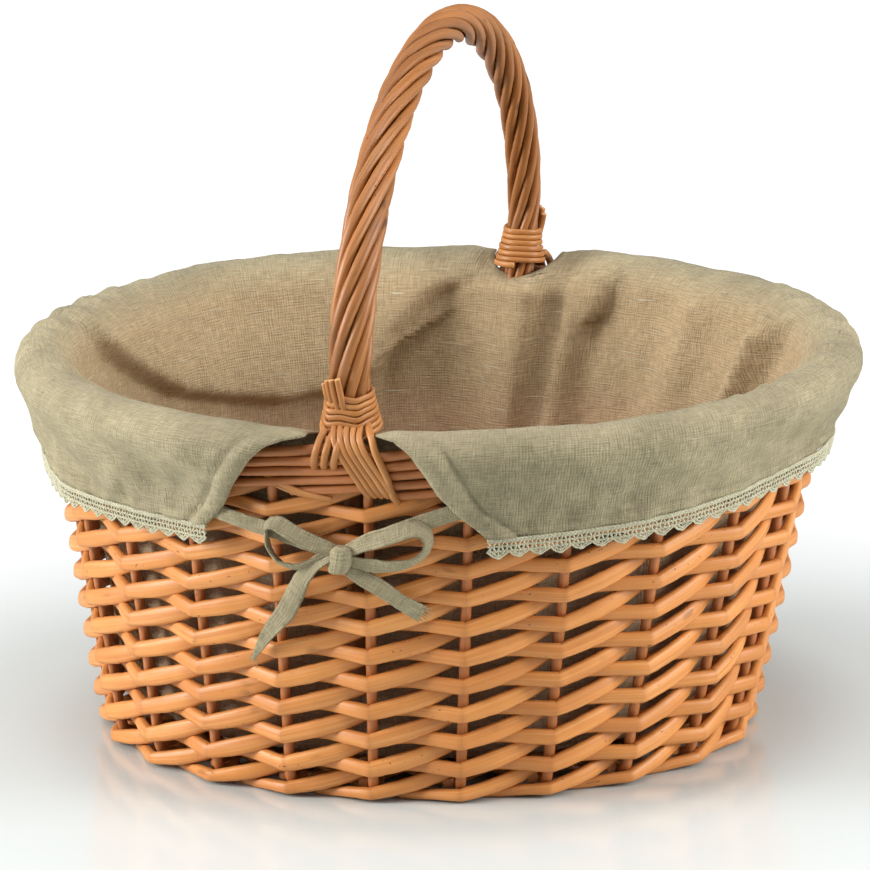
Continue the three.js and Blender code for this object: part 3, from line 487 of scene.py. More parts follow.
class Value:
    """A number's socket that takes part in sums: each operator adds a Math node."""

    def __init__(self, finish, socket):
        self.finish = finish
        self.socket = socket

    def _math(self, operation, *terms):
        return self.finish.node("ShaderNodeMath", {"operation": operation}, *terms)

    def __add__(self, other):
        return self._math("ADD", self, other)

    __radd__ = __add__

    def __sub__(self, other):
        return self._math("SUBTRACT", self, other)

    def __rsub__(self, other):
        return self._math("SUBTRACT", other, self)

    def __mul__(self, other):
        return self._math("MULTIPLY", self, other)

    __rmul__ = __mul__

    def __truediv__(self, other):
        return self._math("DIVIDE", self, other)

    def __pow__(self, other):
        return self._math("POWER", self, other)

    def sine(self):
        """Its sine, in radians."""
        return self._math("SINE", self)

    def size(self):
        """It without its sign."""
        return self._math("ABSOLUTE", self)

    def most(self, other):
        """The larger of it and another."""
        return self._math("MAXIMUM", self, other)

    def band(self, low, high):
        """From 0 at low to 1 at high, smoothly, and held outside."""
        settings = {"interpolation_type": "SMOOTHSTEP"}
        return self.finish.node("ShaderNodeMapRange", settings, self, low, high, 0.0, 1.0)


class Finish:
    """A material under way: makes its nodes and keeps its shader."""

    def __init__(self, name, **sockets):
        self.material = bpy.data.materials.new(name)
        self.material.use_nodes = True
        self.tree = self.material.node_tree
        self.tree.nodes.clear()
        self.output = self.tree.nodes.new("ShaderNodeOutputMaterial")
        self.shader = self.tree.nodes.new("ShaderNodeBsdfPrincipled")
        self.tree.links.new(self.shader.outputs["BSDF"], self.output.inputs["Surface"])
        for label, value in sockets.items():
            self.shader.inputs[label.replace("_", " ")].default_value = value

    def node(self, kind, settings=None, *values, out=0, **named):
        """Adds a node: its settings first, then its sockets by place or by name; gives one output."""
        made = self.tree.nodes.new(kind)
        for label, value in (settings or {}).items():
            setattr(made, label, value)
        for key, value in [*enumerate(values), *((k.replace("_", " "), v) for k, v in named.items())]:
            socket = made.inputs[key]
            if isinstance(value, Value):
                self.tree.links.new(value.socket, socket)
            else:
                socket.default_value = value
        return Value(self, made.outputs[out])

    def attribute(self, name):
        """One of the piece's own point values."""
        return self.node("ShaderNodeAttribute", {"attribute_name": name}, out="Fac")

    def surface_uv(self):
        """UV in metres as two numbers: along the piece and across it."""
        uv = self.node("ShaderNodeUVMap", {"uv_map": "UVMap"})
        split = self.tree.nodes.new("ShaderNodeSeparateXYZ")
        self.tree.links.new(uv.socket, split.inputs[0])
        return Value(self, split.outputs[0]), Value(self, split.outputs[1])

    def vector(self, x, y, z=0.0):
        """A vector of three numbers."""
        return self.node("ShaderNodeCombineXYZ", {}, x, y, z)

    def noise(self, at, scale, detail=3.0, rough=0.55):
        """Noise from 0 to 1 at a place, of a scale, with finer octaves."""
        return self.node("ShaderNodeTexNoise", {"noise_dimensions": "3D"}, Vector=at, Scale=scale,
                         Detail=detail, Roughness=rough, Distortion=0.0)

    def mix(self, factor, first, second, blend="MIX"):
        """Mixes two colours by a factor."""
        made = self.tree.nodes.new("ShaderNodeMix")
        made.data_type = "RGBA"
        made.blend_type = blend
        for key, value in ((0, factor), (6, first), (7, second)):
            if isinstance(value, Value):
                self.tree.links.new(value.socket, made.inputs[key])
            elif key == 0:
                made.inputs[key].default_value = value
            else:
                made.inputs[key].default_value = (*value[:3], 1.0)
        return Value(self, made.outputs[2])

    def feed(self, label, value):
        """Links a value to one of the shader's sockets."""
        self.tree.links.new(value.socket, self.shader.inputs[label])

    def relief(self, height, distance, strength=1.0):
        """Feeds the Normal with a height in shares of a distance in metres."""
        bumps = self.node("ShaderNodeBump", {}, Strength=strength, Distance=distance, Height=height)
        self.feed("Normal", bumps)


def deepened(colour, share):
    """A colour times a share."""
    return tuple(c * share for c in colour[:3])


def willow_finish(name, colour, pale, dark, knots):
    """Peeled, steamed willow: fibres as noise drawn out along the rod, broad patches, small dark specks,
    darker knots at random places along the rod, darker where `tone` is low, a random tone with some
    painted light on the weavers, or where `shade` is high, painted shade and the handle's knots, and
    pale cut ends, where `shade` is below zero."""
    f = Finish(name, Specular_IOR_Level=0.5)
    along, around = f.surface_uv()
    tone = f.attribute("tone")
    shade = f.attribute("shade")
    fibres = f.noise(f.vector(along * 9.0, around * 760.0, 1.0), 1.0, 3.0, 0.55)
    fine = f.noise(f.vector(along * 40.0, around * 2200.0, 2.0), 1.0, 2.0, 0.5)
    patches = f.noise(f.vector(along * 8.0, around * 60.0, 3.0), 1.0, 2.0, 0.5)
    base = f.mix(patches.band(0.3, 0.62) * 0.5 + 0.5, dark, colour)
    base = f.mix(fibres.band(0.4, 0.72) * 0.42, base, pale)
    base = f.mix((1 - fine.band(0.3, 0.5)) * 0.16, base, dark)
    # Random tone, with painted light on the weavers: paler past each crease.
    base = f.mix((1 - tone).most(0.0) * 0.6, base, dark)
    specks = f.noise(f.vector(along * 330.0, around * 620.0, 5.0), 1.0, 1.0, 0.4)
    cluster = f.noise(f.vector(along * 26.0, around * 120.0, 9.0), 1.0, 1.0, 0.5)
    speck = specks.band(0.66, 0.72) * cluster.band(0.58, 0.68)
    base = f.mix(speck * 0.85, base, deepened(dark, 0.25))
    knot = f.noise(f.vector(along * 48.0, around * 110.0, 7.0), 1.0, 0.0, 0.5).band(0.73, 0.84) * knots
    base = f.mix(knot * 0.8, base, deepened(dark, 0.3))
    # Painted shade, and the handle's darker knots, where `shade` is above zero.
    base = f.mix(shade.most(0.0) * 0.8, base, deepened(dark, 0.6))
    base = f.mix((shade * -1.0).most(0.0), base, pale)
    f.feed("Base Color", base)
    f.feed("Roughness", fibres * 0.2 + speck * 0.2 + WILLOW_ROUGHNESS)
    f.relief(fibres * 0.5 + fine * 0.25 - knot * 0.5 + patches * 0.5, 0.0005, 0.7)
    return f.material


def linen_finish(name, colour, pale, inner, slubs):
    """Plain linen: two families of uneven threads as noise drawn out along each, crossing over and under
    with pores between, pale slubs, broad patches, a painted browner shade inside the bag, by `shade`,
    a painted warm bounce light from the willow near its bottom, by `tone`, and painted shade in the
    hems' stitched dents, by a negative `shade`."""
    f = Finish(name, Roughness=0.92, Specular_IOR_Level=0.12, Sheen_Weight=0.06, Sheen_Roughness=0.5)
    along, across = f.surface_uv()
    place = f.node("ShaderNodeTexCoord", out="Object")
    wobble = f.noise(place, 120.0, 2.0) * 0.0016
    warp = f.noise(f.vector(along / THREAD_PITCH, across * 120.0, 1.0), 1.0, 2.0, 0.6)
    weft = f.noise(f.vector(along * 110.0, across / THREAD_PITCH, 4.0), 1.0, 2.0, 0.6)
    cell = math.pi / (1.5 * THREAD_PITCH)
    over = (((along + wobble) * cell).sine() * ((across + wobble) * cell).sine()).size()
    threads = warp.band(0.3, 0.7) * 0.5 + weft.band(0.3, 0.7) * 0.5
    slub_a = f.noise(f.vector(along * 34.0, across * 800.0, 2.0), 1.0, 1.0, 0.5).band(0.68, 0.76)
    slub_b = f.noise(f.vector(along * 900.0, across * 50.0, 7.0), 1.0, 1.0, 0.5).band(0.72, 0.8)
    slub = slub_a.most(slub_b * 0.6) * slubs
    mottled = f.noise(place, 26.0, 4.0, 0.6) * 0.6 + f.noise(place, 9.0, 2.0) * 0.4
    shade = f.attribute("shade")
    base = f.mix(mottled.band(0.36, 0.62), deepened(colour, 0.76), colour)
    # Painted shade: the cloth inside the bag turns to the browner inside colour.
    base = f.mix(shade.most(0.0) * 0.95, base, inner)
    # Painted warm bounce light from the willow, near the bag's bottom.
    base = f.mix((0.5 - f.attribute("tone")) * 1.8, base, PAINTED_BOUNCE_BROWN)
    grain = f.mix(threads, (0.70, 0.70, 0.67), (1.14, 1.14, 1.14))
    base = f.mix(1.0, base, grain, "MULTIPLY")
    pores = f.mix((1 - over) ** 2.0 * 0.26, (1.0, 1.0, 1.0), (0.45, 0.43, 0.4))
    base = f.mix(1.0, base, pores, "MULTIPLY")
    base = f.mix(slub * (0.25 + shade.most(0.0) * 0.5), base, pale)
    # Painted shade in the hems' stitched dents, where `shade` is below zero.
    base = f.mix((shade * -1.0).most(0.0) * 0.8, base, deepened(colour, 0.5))
    f.feed("Base Color", base)
    f.feed("Roughness", 0.84 + warp * 0.12)
    crumple = f.noise(place, 60.0, 4.0, 0.55)
    f.relief(threads * 0.6 + slub * 0.6 + over * 0.3 + crumple * 3.0, 0.0007, 0.9)
    return f.material


def thread_finish(name, colour, pale):
    """Twisted cotton yarn: slanting plies round each thread, with a painted highlight along each ply, and
    small uneven patches.
    """
    f = Finish(name, Roughness=0.9, Specular_IOR_Level=0.2, Sheen_Weight=0.3, Sheen_Roughness=0.5)
    along, around = f.surface_uv()
    plies = ((along + around * 0.9) * (TURN / PLY_PITCH)).sine()
    patches = f.noise(f.node("ShaderNodeTexCoord", out="Object"), 180.0, 3.0)
    base = f.mix(patches.band(0.3, 0.7), deepened(colour, 0.84), colour)
    # Painted highlight along each ply.
    base = f.mix(plies.band(0.0, 1.0) * 0.4, base, pale)
    f.feed("Base Color", base)
    f.feed("Roughness", 0.85 + patches * 0.1)
    f.relief(plies, 0.00015, 0.6)
    return f.material


# Settings.


class BasketSizes(bpy.types.PropertyGroup):
    weaver_height: bpy.props.FloatProperty(
        name="Weaver height", description="Height of a weaving rod where it crosses a stake",
        default=0.0103, min=0.004, max=0.012, unit="LENGTH")
    weaver_thickness: bpy.props.FloatProperty(
        name="Weaver thickness", description="Thickness of a weaving rod, pressed flat against its stake",
        default=0.0062, min=0.003, max=0.008, unit="LENGTH")
    border_rod: bpy.props.FloatProperty(
        name="Border rod", description="Thickness of the turned-down stakes that make the border",
        default=0.0062, min=0.003, max=0.007, unit="LENGTH")
    handle_rod: bpy.props.FloatProperty(
        name="Handle rod", description="Thickness of the rods roped round the bow handle",
        default=0.0062, min=0.003, max=0.008, unit="LENGTH")
    lashing_rod: bpy.props.FloatProperty(
        name="Lashing rod", description="Thickness of the split rod that binds each handle foot",
        default=0.0029, min=0.001, max=0.004, unit="LENGTH")
    cloth_thickness: bpy.props.FloatProperty(
        name="Cloth thickness", description="Thickness of the linen liner",
        default=0.0013, min=0.0003, max=0.003, unit="LENGTH")
    tape_width: bpy.props.FloatProperty(
        name="Tape width", description="Width of the sewn tape that ties the liner",
        default=0.0095, min=0.003, max=0.02, unit="LENGTH")
    unevenness: bpy.props.FloatProperty(
        name="Unevenness", description="How far rods stray from their even places",
        default=1.0, min=0.0, max=2.0, subtype="FACTOR")


class WillowColours(bpy.types.PropertyGroup):
    weaver: bpy.props.FloatVectorProperty(
        name="Weavers", description="Main colour of the weaving rods", size=3, subtype="COLOR",
        default=(0.70, 0.270, 0.060), min=0.0, max=1.0)
    weaver_pale: bpy.props.FloatVectorProperty(
        name="Pale fibres", description="Pale fibres and cut ends of the willow", size=3, subtype="COLOR",
        default=(0.89, 0.47, 0.175), min=0.0, max=1.0)
    weaver_dark: bpy.props.FloatVectorProperty(
        name="Dark patches", description="Darker patches of the weaving rods", size=3, subtype="COLOR",
        default=(0.46, 0.155, 0.034), min=0.0, max=1.0)
    stake: bpy.props.FloatVectorProperty(
        name="Stakes", description="Redder brown of the stakes and the border", size=3, subtype="COLOR",
        default=(0.50, 0.172, 0.054), min=0.0, max=1.0)
    handle: bpy.props.FloatVectorProperty(
        name="Handle", description="Main colour of the handle's rods", size=3, subtype="COLOR",
        default=(0.40, 0.142, 0.031), min=0.0, max=1.0)


class LinerColours(bpy.types.PropertyGroup):
    linen: bpy.props.FloatVectorProperty(
        name="Linen", description="Colour of the linen", size=3, subtype="COLOR",
        default=(0.415, 0.356, 0.226), min=0.0, max=1.0)
    linen_pale: bpy.props.FloatVectorProperty(
        name="Slubs", description="Pale thick places in the linen's threads", size=3, subtype="COLOR",
        default=(0.66, 0.60, 0.44), min=0.0, max=1.0)
    # Painted shade: the browner look of the cloth inside the bag stands for its shade and the willow's warm
    # bounce light.
    linen_inside: bpy.props.FloatVectorProperty(
        name="Inside", description="Browner tone of the linen inside the bag", size=3, subtype="COLOR",
        default=(0.46, 0.335, 0.195), min=0.0, max=1.0)
    lace: bpy.props.FloatVectorProperty(
        name="Lace", description="Colour of the crochet edging", size=3, subtype="COLOR",
        default=(0.55, 0.515, 0.35), min=0.0, max=1.0)
    # Painted highlight on the crochet yarn's plies.
    lace_pale: bpy.props.FloatVectorProperty(
        name="Lace highlights", description="Pale plies of the crochet yarn", size=3, subtype="COLOR",
        default=(0.68, 0.65, 0.50), min=0.0, max=1.0)


def sizes():
    """The sizes in millimetres, by name, and the plain factor of unevenness."""
    group = bpy.context.scene.basket_sizes
    return {name: getattr(group, name) * (1 if name == "unevenness" else 1000)
            for name in BasketSizes.__annotations__}


# Weavers, stakes and border.


def weaver_surface(index, s):
    """One randed rod. With t counted in stakes from its own, it lies at arc shift + spacing (index + t). Its
    distance outside the wall is a triangle wave, 1 at the odd stakes and -1 at the even ones, that stays
    out longer on the way in. Its height is start + rise t plus a bend of period 2, lowest at the crease
    over the odd stakes: a sine on the way out and a power on the way in. It is tallest past the crease."""
    rng = np.random.default_rng(100 + index)
    wild = s["unevenness"]
    near = np.concatenate([[0.0, 0.016], np.linspace(0.05, 1.0, 20)])
    creases = np.arange(1, WEAVER_STEPS + 2, 2)[:, None]
    t = np.unique(np.round(creases + np.concatenate([-near, near]), 4))
    t = t[(t >= WEAVER_FROM) & (t <= WEAVER_STEPS + WEAVER_STUB)]
    phase = np.mod(t, 2.0) - 1.0
    wave = -np.arcsin(CREASE_SHARPNESS * np.cos(np.pi * t)) / math.asin(CREASE_SHARPNESS)
    wave = wave + STAYS_OUT * np.sin(np.pi * phase) * (1 - wave**2)
    half_way = WEAVER_STEPS / 2
    taper = 1 - WEAVER_TAPER * np.clip((t - half_way) / half_way, 0, 1)
    half_out = s["weaver_thickness"] / 2 * taper
    reach = STAKE_RADIUS + STAKE_CLEARANCE + half_out
    lift = wild * (0.6 * wander(t, 300 + index, 5.0) + 0.4 * rng.standard_normal())
    depth = 1 + wild * 0.05 * wander(t, 500 + index, 3.0)
    bend = np.where(phase < 0, BEND_OUT * np.sin(BEND_OUT_TURN * np.clip(-phase, 0, 1)),
                    BEND_IN * np.clip(phase, 0, 1) ** BEND_IN_POWER)
    grown = np.clip(t / GROWN_AT, 0, 1)
    high = s["weaver_height"] / 2 * np.interp(phase, *HEIGHT_BY_PHASE) * taper * (0.6 + 0.4 * grown)
    z = WEAVE_START + STEP_RISE * t + (lift + bend - CREASE_DROP) * grown
    z = np.maximum(z, high + FLOOR_CLEARANCE)
    angle = angle_at(STAKE_SHIFT + SPACING * (index + t))
    path = oval_point(angle, wall_offset(np.maximum(z, WEAVER_ROOM)) + wave * reach * depth, z)
    wide = half_out * (0.86 + 0.12 * np.abs(np.cos(np.pi * t)))
    # Painted shade where the rod passes inside the stakes, and a narrow darker band at each outer crease.
    shade = 0.5 * np.clip(-wave, 0, 1) ** 0.7 + 0.3 * bump(phase, 0.03) * (wave > 0)
    # Random tone, and painted light: the part past each crease a little paler than the part before it.
    tone = rng.uniform(0.4, 0.85) + 0.22 * wander(t, 800 + index, 2.6) + 0.12 * np.sign(phase)
    return tube(path, oval_normal(angle), wide, high, sides=14, square=2.9,
                tone=np.clip(tone, 0.05, 1.0), shade=shade, seed=700 + index)


def stake_surface(index, s):
    """One stake: through its foot, elbow and the straight wall, then a quarter bend to the left and along
    the rim, where it drops by the same height at each stake passed, as a rod of the stacked border."""
    rng = np.random.default_rng(900 + index)
    wild = s["unevenness"]
    arc = STAKE_SHIFT + SPACING * index
    angle = float(angle_at(arc))
    radius = s["border_rod"] / 2
    foot = oval_point(angle, *np.array(STAKE_FOOT).T)
    level = np.linspace(CORNER_HEIGHT, BORDER_LEVEL - BEND_RADIUS, 24)
    wall = oval_point(angle, wall_offset(level), level)
    lean = np.linspace(0.2, 1.0, 5) * np.pi / 2
    bend = on_wall(arc - BEND_RADIUS * (1 - np.cos(lean)),
                   BORDER_LEVEL - BEND_RADIUS + BEND_RADIUS * np.sin(lean), 0.4 * (1 - np.cos(lean)))
    passed = np.linspace(0.42, BORDER_SPANS - BORDER_SHORT, 26)
    stray = wild * np.clip(passed - 0.5, 0, 1) * (0.45 * wander(passed, 950 + index, 3.0))
    out = BORDER_OUT * np.clip((passed - 0.1) / 0.75, 0, 1)
    out = out + 0.5 * np.sin(TURN * passed) * np.clip(passed - 1, 0, 1)
    tail = on_wall(arc - SPACING * passed, BORDER_LEVEL - BORDER_DROP * passed + stray, out)
    path = spline(np.concatenate([foot, wall, bend, tail]), 230, 2.2)
    # The section's side turns from along the oval, at the foot, to outwards, and the rod thins in the border.
    upright = np.clip((path[:, 2] - 60) / 80, 0, 1)[:, None]
    side = oval_normal(np.asarray(angle + np.pi / 2))
    across = side * (1 - upright) + normal_near(path) * upright
    run = np.linspace(0, 1, len(path))
    size = STAKE_RADIUS + (radius - STAKE_RADIUS) * np.clip((run - 0.35) / 0.15, 0, 1)
    size = size * (1 - BORDER_TAPER * np.clip((run - 0.5) / 0.5, 0, 1))
    # Painted shade where the stakes stand among the weavers, below the border.
    shade = 0.12 * (path[:, 2] < BORDER_LEVEL - 34)
    # Random tone, darker in the border: partly painted shade under the liner's rim.
    tone = np.where(run < 0.45, rng.uniform(0.8, 1.0), rng.uniform(0.15, 0.75))
    return tube(path, across, size, size * 0.97, square=2.1, tone=tone, shade=shade, seed=960 + index)


# Base.


def base_ray(count):
    """Where a base stick leaves the slath, its knee and its end beside the stake's foot."""
    count = count % STAKES
    half = STAKES // 2
    width = LONG_STICK_PITCH * (LONG_STICKS - 1) / 2 + SLATH_MARGIN
    length = CROSS_STICK_PITCH * CROSS_REACH + SLATH_MARGIN
    flip = -1 if CROSS_REACH < count <= CROSS_REACH + half else 1
    if flip == 1:
        local = count - STAKES if count > CROSS_REACH else count
    else:
        local = count - half
    if local >= -CROSS_REACH:
        start = np.array([flip * CROSS_STICK_PITCH * local, -flip * width, BASE_LEVEL])
    else:
        place = local + half - CROSS_REACH - 1 - (LONG_STICKS - 1) / 2
        start = np.array([-flip * length, -flip * LONG_STICK_PITCH * place, BASE_LEVEL])
    angle = angle_at(STAKE_SHIFT + SPACING * count)
    normal = oval_normal(angle)
    aside = np.array([normal[1], -normal[0], 0]) * STICK_ASIDE
    knee, end = (oval_point(angle, -inset, BASE_LEVEL) + aside for inset in (BASE_EDGE, 1.0))
    return start, knee, end


def base_sticks_surface():
    """The pierced slath: each stick runs from one edge of the base through the middle to the other."""
    pairs = [(i, STAKES // 2 - i, CROSS_STICK_HEIGHT) for i in range(-CROSS_REACH, CROSS_REACH + 1)]
    pairs += [(CROSS_REACH + 1 + i, -CROSS_REACH - 1 - i, LONG_STICK_HEIGHT) for i in range(LONG_STICKS)]
    sticks = []
    for k, (first, second, height) in enumerate(pairs):
        path = spline([*base_ray(first)[::-1], *base_ray(second)], 60, 3.0)
        sticks.append(tube(path, (0, 0, 1), height / 2, STICK_HALF_WIDTH, square=2.8,
                           tone=0.3 + 0.06 * (k % 7), seed=40 + k))
    slath = stacked(sticks)
    # The sticks' cut ends, under the wall, are darkened rather than pale: painted shade.
    slath.shade = np.abs(slath.shade) * 0.5
    return slath


def base_weaver_surface(start):
    """A flat spiral from the slath to the rim: between two rays the place is a straight mean, and the height
    swings about the sticks by a rounded triangle wave, over one and under the next, flat at the floor."""
    steps = int(BASE_TURNS * STAKES)
    rays = [base_ray(i) for i in range(STAKES)]
    knots = []
    for step in range(steps + 1):
        begin, knee, _ = rays[(start + step) % STAKES]
        inward = unit(begin - knee)
        knots.append(knee + inward * (BASE_ROD_WIDTH / 2 + BASE_PITCH * 2 * (steps - step) / STAKES))
    t = np.linspace(0, steps, steps * 7 + 1)
    path = soften(columns_at(t, np.arange(steps + 1), np.array(knots)), 1.6)
    swing = np.arcsin(BASE_SHARPNESS * np.cos(np.pi * t)) / math.asin(BASE_SHARPNESS)
    path[:, 2] = BASE_LEVEL + BASE_SWING * swing
    rod = tube(path, (0, 0, 1), BASE_ROD_HEIGHT / 2, BASE_ROD_WIDTH / 2, square=2.6,
               tone=0.55, shade=0.15, seed=60 + start)
    rod.points[:, 2] = np.maximum(rod.points[:, 2], 0.0)
    return rod


# Handle.


def leg_run(z):
    """Length along the handle's leg at a height."""
    return (z - HANDLE_REACH_DOWN) * math.hypot(1, WALL_SLOPE)


def handle_line():
    """Middle line of the bow: straight legs along the wall, and a superellipse between them, leaning a
    little to the left and back; even points, and the length at each."""
    foot_y = HALF_WIDTH + float(wall_offset(np.float64(HANDLE_FOOT_LEVEL))) - HANDLE_INSET
    level = np.linspace(HANDLE_REACH_DOWN, HANDLE_STRAIGHT_TO, 40)
    leg_y = HALF_WIDTH + wall_offset(level) - HANDLE_INSET
    t = np.linspace(0, np.pi, 400)
    power = 2 / HANDLE_SHAPE
    bend = np.sin(t) ** 2
    y = -foot_y * np.sign(np.cos(t)) * np.abs(np.cos(t)) ** power
    arch = np.stack([HANDLE_LEAN_X * bend, y + HANDLE_LEAN_Y * bend,
                     HANDLE_FOOT_LEVEL + (HANDLE_TOP - HANDLE_FOOT_LEVEL) * np.sin(t) ** power], 1)
    front = np.stack([0 * level, -leg_y, level], 1)
    back = np.stack([0 * level, leg_y, level], 1)[::-1]
    path = np.concatenate([front, arch, back])
    run = lengths_along(path)
    keep = np.concatenate([[True], np.diff(run) > 1e-6])
    even = np.linspace(0, run[-1], 1200)
    return soften(columns_at(even, run[keep], path[keep]), 9.0), even


HANDLE_PATH, HANDLE_RUN = handle_line()
HANDLE_LENGTH = float(HANDLE_RUN[-1])
HANDLE_ALONG = unit(np.gradient(HANDLE_PATH, axis=0))
HANDLE_OUTWARD = unit(np.cross(np.array([1.0, 0, 0]), HANDLE_ALONG))
HANDLE_SIDEWAYS = unit(np.cross(HANDLE_ALONG, HANDLE_OUTWARD))


def handle_frame(run):
    """Place on the handle's middle line at a length along it, and the directions along, out and aside."""
    return [columns_at(run, HANDLE_RUN, table)
            for table in (HANDLE_PATH, HANDLE_ALONG, HANDLE_OUTWARD, HANDLE_SIDEWAYS)]


def handle_swell(run):
    """Thickness of the handle as a share, falling evenly from the front foot to the back foot, and drawn
    in by the lashing at both."""
    start = leg_run(STRAND_START_LEVEL)
    run = np.asarray(run, float)
    share = np.clip((run - start) / (HANDLE_LENGTH - 2 * start), 0, 1)
    from_foot = np.minimum(run, HANDLE_LENGTH - run) - start
    waist = 1 - FOOT_WAIST * bump(from_foot, WAIST_REACH)
    return (FRONT_GIRTH + (BACK_GIRTH - FRONT_GIRTH) * share) * waist


def handle_core_surface():
    """The core: a plain rod on the middle line."""
    run = np.linspace(0, HANDLE_LENGTH, 160)
    path, _, _, side = handle_frame(run)
    radius = CORE_RADIUS * handle_swell(run)
    return tube(path, side, radius, radius, tone=0.4, seed=80)


def handle_strand_surface(index, s):
    """A rod roped round the bow: at a length l it stands off the middle line by the ring's radius, turned by
    its phase + l / pitch of a full turn. At the back foot it turns and comes back beside itself."""
    rng = np.random.default_rng(1200 + index)
    start = leg_run(STRAND_START_LEVEL)
    end = HANDLE_LENGTH - start
    count, turning = 230, 3

    def place(run, phase):
        centre, along, outward, sideways = handle_frame(run)
        turn = TURN * (phase / STRANDS + (run - start) / STRAND_TURN)[..., None]
        radial = outward * np.cos(turn) + sideways * np.sin(turn)
        path = centre + radial * STRAND_RING * handle_swell(run)[..., None]
        return path, radial, np.cross(along, radial), along

    run = np.linspace(start, end, count)
    over = place(run, 2 * index + 0.06 * wander(run, 1300 + index, 160.0))
    back = place(run[::-1], 2 * index + 1 + 0.06 * wander(run[::-1], 1350 + index, 160.0))
    middle, radial, round_it, along = place(np.full(1, end), np.full(1, 2 * index + 0.5))
    lean = np.pi * np.array([0.25, 0.5, 0.75])[:, None]
    half = STRAND_SPACING / 2 * float(handle_swell(end))
    turn = middle - round_it * half * np.cos(lean) + along * half * np.sin(lean)
    path = np.concatenate([over[0], turn, back[0]])
    across = np.concatenate([over[1], np.repeat(radial, turning, 0), back[1]])
    lengths = np.concatenate([run, np.full(turning, end), run[::-1]])
    size = s["handle_rod"] / 2 * handle_swell(lengths) * (
        1 + 0.035 * s["unevenness"] * wander(lengths, 1400 + index, 90.0))
    size = size * np.repeat([rng.uniform(0.96, 1.05), 1.0, rng.uniform(0.93, 1.04)], [count, turning, count])
    places = np.arange(len(size))
    knot = sum(bump(places - rng.integers(20, len(size) - 20), 3.5) * rng.uniform(0.04, 0.12)
               for _ in range(5))
    tone = np.repeat([rng.uniform(0.25, 1.0), rng.uniform(0.25, 1.0)], [count + 2, count + 1])
    return tube(path, across, size * (1 + knot), size * (1 + knot), square=2.1,
                tone=tone, shade=knot * 3, seed=1500 + index)


# Lashings.


def lashing_coil(radius, first):
    """The split rod wound down the foot: a cone that widens by a power of 1.4 of its share, with two
    corners where it is creased outwards and down."""
    share = np.linspace(0, 1, 640)
    top = LASHING_HIGH + 1.0
    centre, along, outward, sideways = handle_frame(leg_run(top - (top - LASHING_LOW) * share))
    turn = TURN * LASHING_TURNS * share
    corner = 0 * share
    for place in LASHING_CORNERS:
        away = np.mod(turn - place + np.pi, TURN) - np.pi
        corner = np.maximum(corner, np.exp(-(away / LASHING_CORNER_WIDTH) ** 2))
    ring = (first + LASHING_FLARE * share**1.4) * (1 + 0.10 * corner) + 0.25 * wander(share * 100, 21, 12.0)
    radial = outward * np.cos(turn)[:, None] + sideways * np.sin(turn)[:, None]
    slant = np.cos(turn) * (1 - share) - (2.6 * share**2 + 0.6) * corner
    path = centre + radial * ring[:, None] + along * slant[:, None]
    return tube(path, radial, radius * 0.8, radius * 1.12, sides=10, square=2.8, tone=0.9, seed=22)


def cut_ends(radius, first):
    """The cut ends of the bound rods, which stand side by side above the coil and lean out a little."""
    ends = []
    for k, (place, height) in enumerate(CUT_ENDS):
        turn = (place * 3.5 / first + np.array([0.10, 0.0, -0.16]))[:, None]
        centre, _, outward, sideways = handle_frame(leg_run(LASHING_HIGH + np.array([-5.0, 2.0, height])))
        radial = outward * np.cos(turn) + sideways * np.sin(turn)
        path = centre + radial * (first + np.array([0.0, 1.2, 1.8]))[:, None]
        ends.append(rod_along(path, radial[0], radius * 1.22, 14,
                              tone=0.55 - 0.08 * (k % 2), shade=0.1, seed=23 + k))
    return ends


def rods_over_border(radius, first):
    """The rods that come out below the coil, as (arc, height, distance out): a bundle that lies slanting
    over the border, with a thicker one beside it, and three short ones that dive under the border."""
    outside = BORDER_OUT + 3.0 + radius + 0.1
    lowest = BORDER_LEVEL - BORDER_DROP * 4
    bundle = [(k - 1.4, 3.35, 18.5, 0.0, 1.2) for k in range(5)] + [(4.5, 3.5, 13.0, 4.0, 1.35)]
    rods = []
    for k, (place, pitch, slant, lower, thick) in enumerate(bundle):
        side = place * pitch
        beside = min(side, 0.86 * first)
        start = math.sqrt(first**2 - beside**2) - HANDLE_INSET
        points = [
            (beside, LASHING_LOW + 5.0, start + 1.6),
            (side + 0.1 * slant, BORDER_TOP + 2.0, outside - 3.6),
            (side + 0.24 * slant, BORDER_LEVEL - 0.6, outside - 0.6),
            (side + 0.45 * slant, BORDER_LEVEL - 7.5, outside + 0.3),
            (side + 0.7 * slant, lowest + 8.6, outside + 0.2),
            (side + slant, lowest - lower - 1.0, outside - 0.3 * lower),
            (side + slant + 1.6, lowest - lower - 4.0, outside - 2.4 - 0.4 * lower)]
        rods.append(rod_on_wall(points, points[3][0], radius * thick, 60, 1.2,
                                square=2.8, tone=0.5 + 0.09 * k, seed=30 + k))
    for k in range(3):
        side = -12.0 + 5.2 * k
        points = [
            (side + 3.0, LASHING_LOW + 2.5, 1.2), (side + 1.8, BORDER_TOP + 2.0, 6.0),
            (side + 0.9, BORDER_LEVEL - 1.5, outside + 0.2), (side - 0.4, BORDER_LEVEL - 7.5, outside + 0.2),
            (side - 0.9, BORDER_LEVEL - 9.8, outside - 0.7), (side - 1.6, BORDER_LEVEL - 13.2, outside - 4.8),
            (side - 2.4, BORDER_LEVEL - 17.0, outside - 6.6)]
        rods.append(rod_on_wall(points, side, 2.15, 44, 1.0, tone=0.45 + 0.1 * k, seed=40 + k))
    return rods


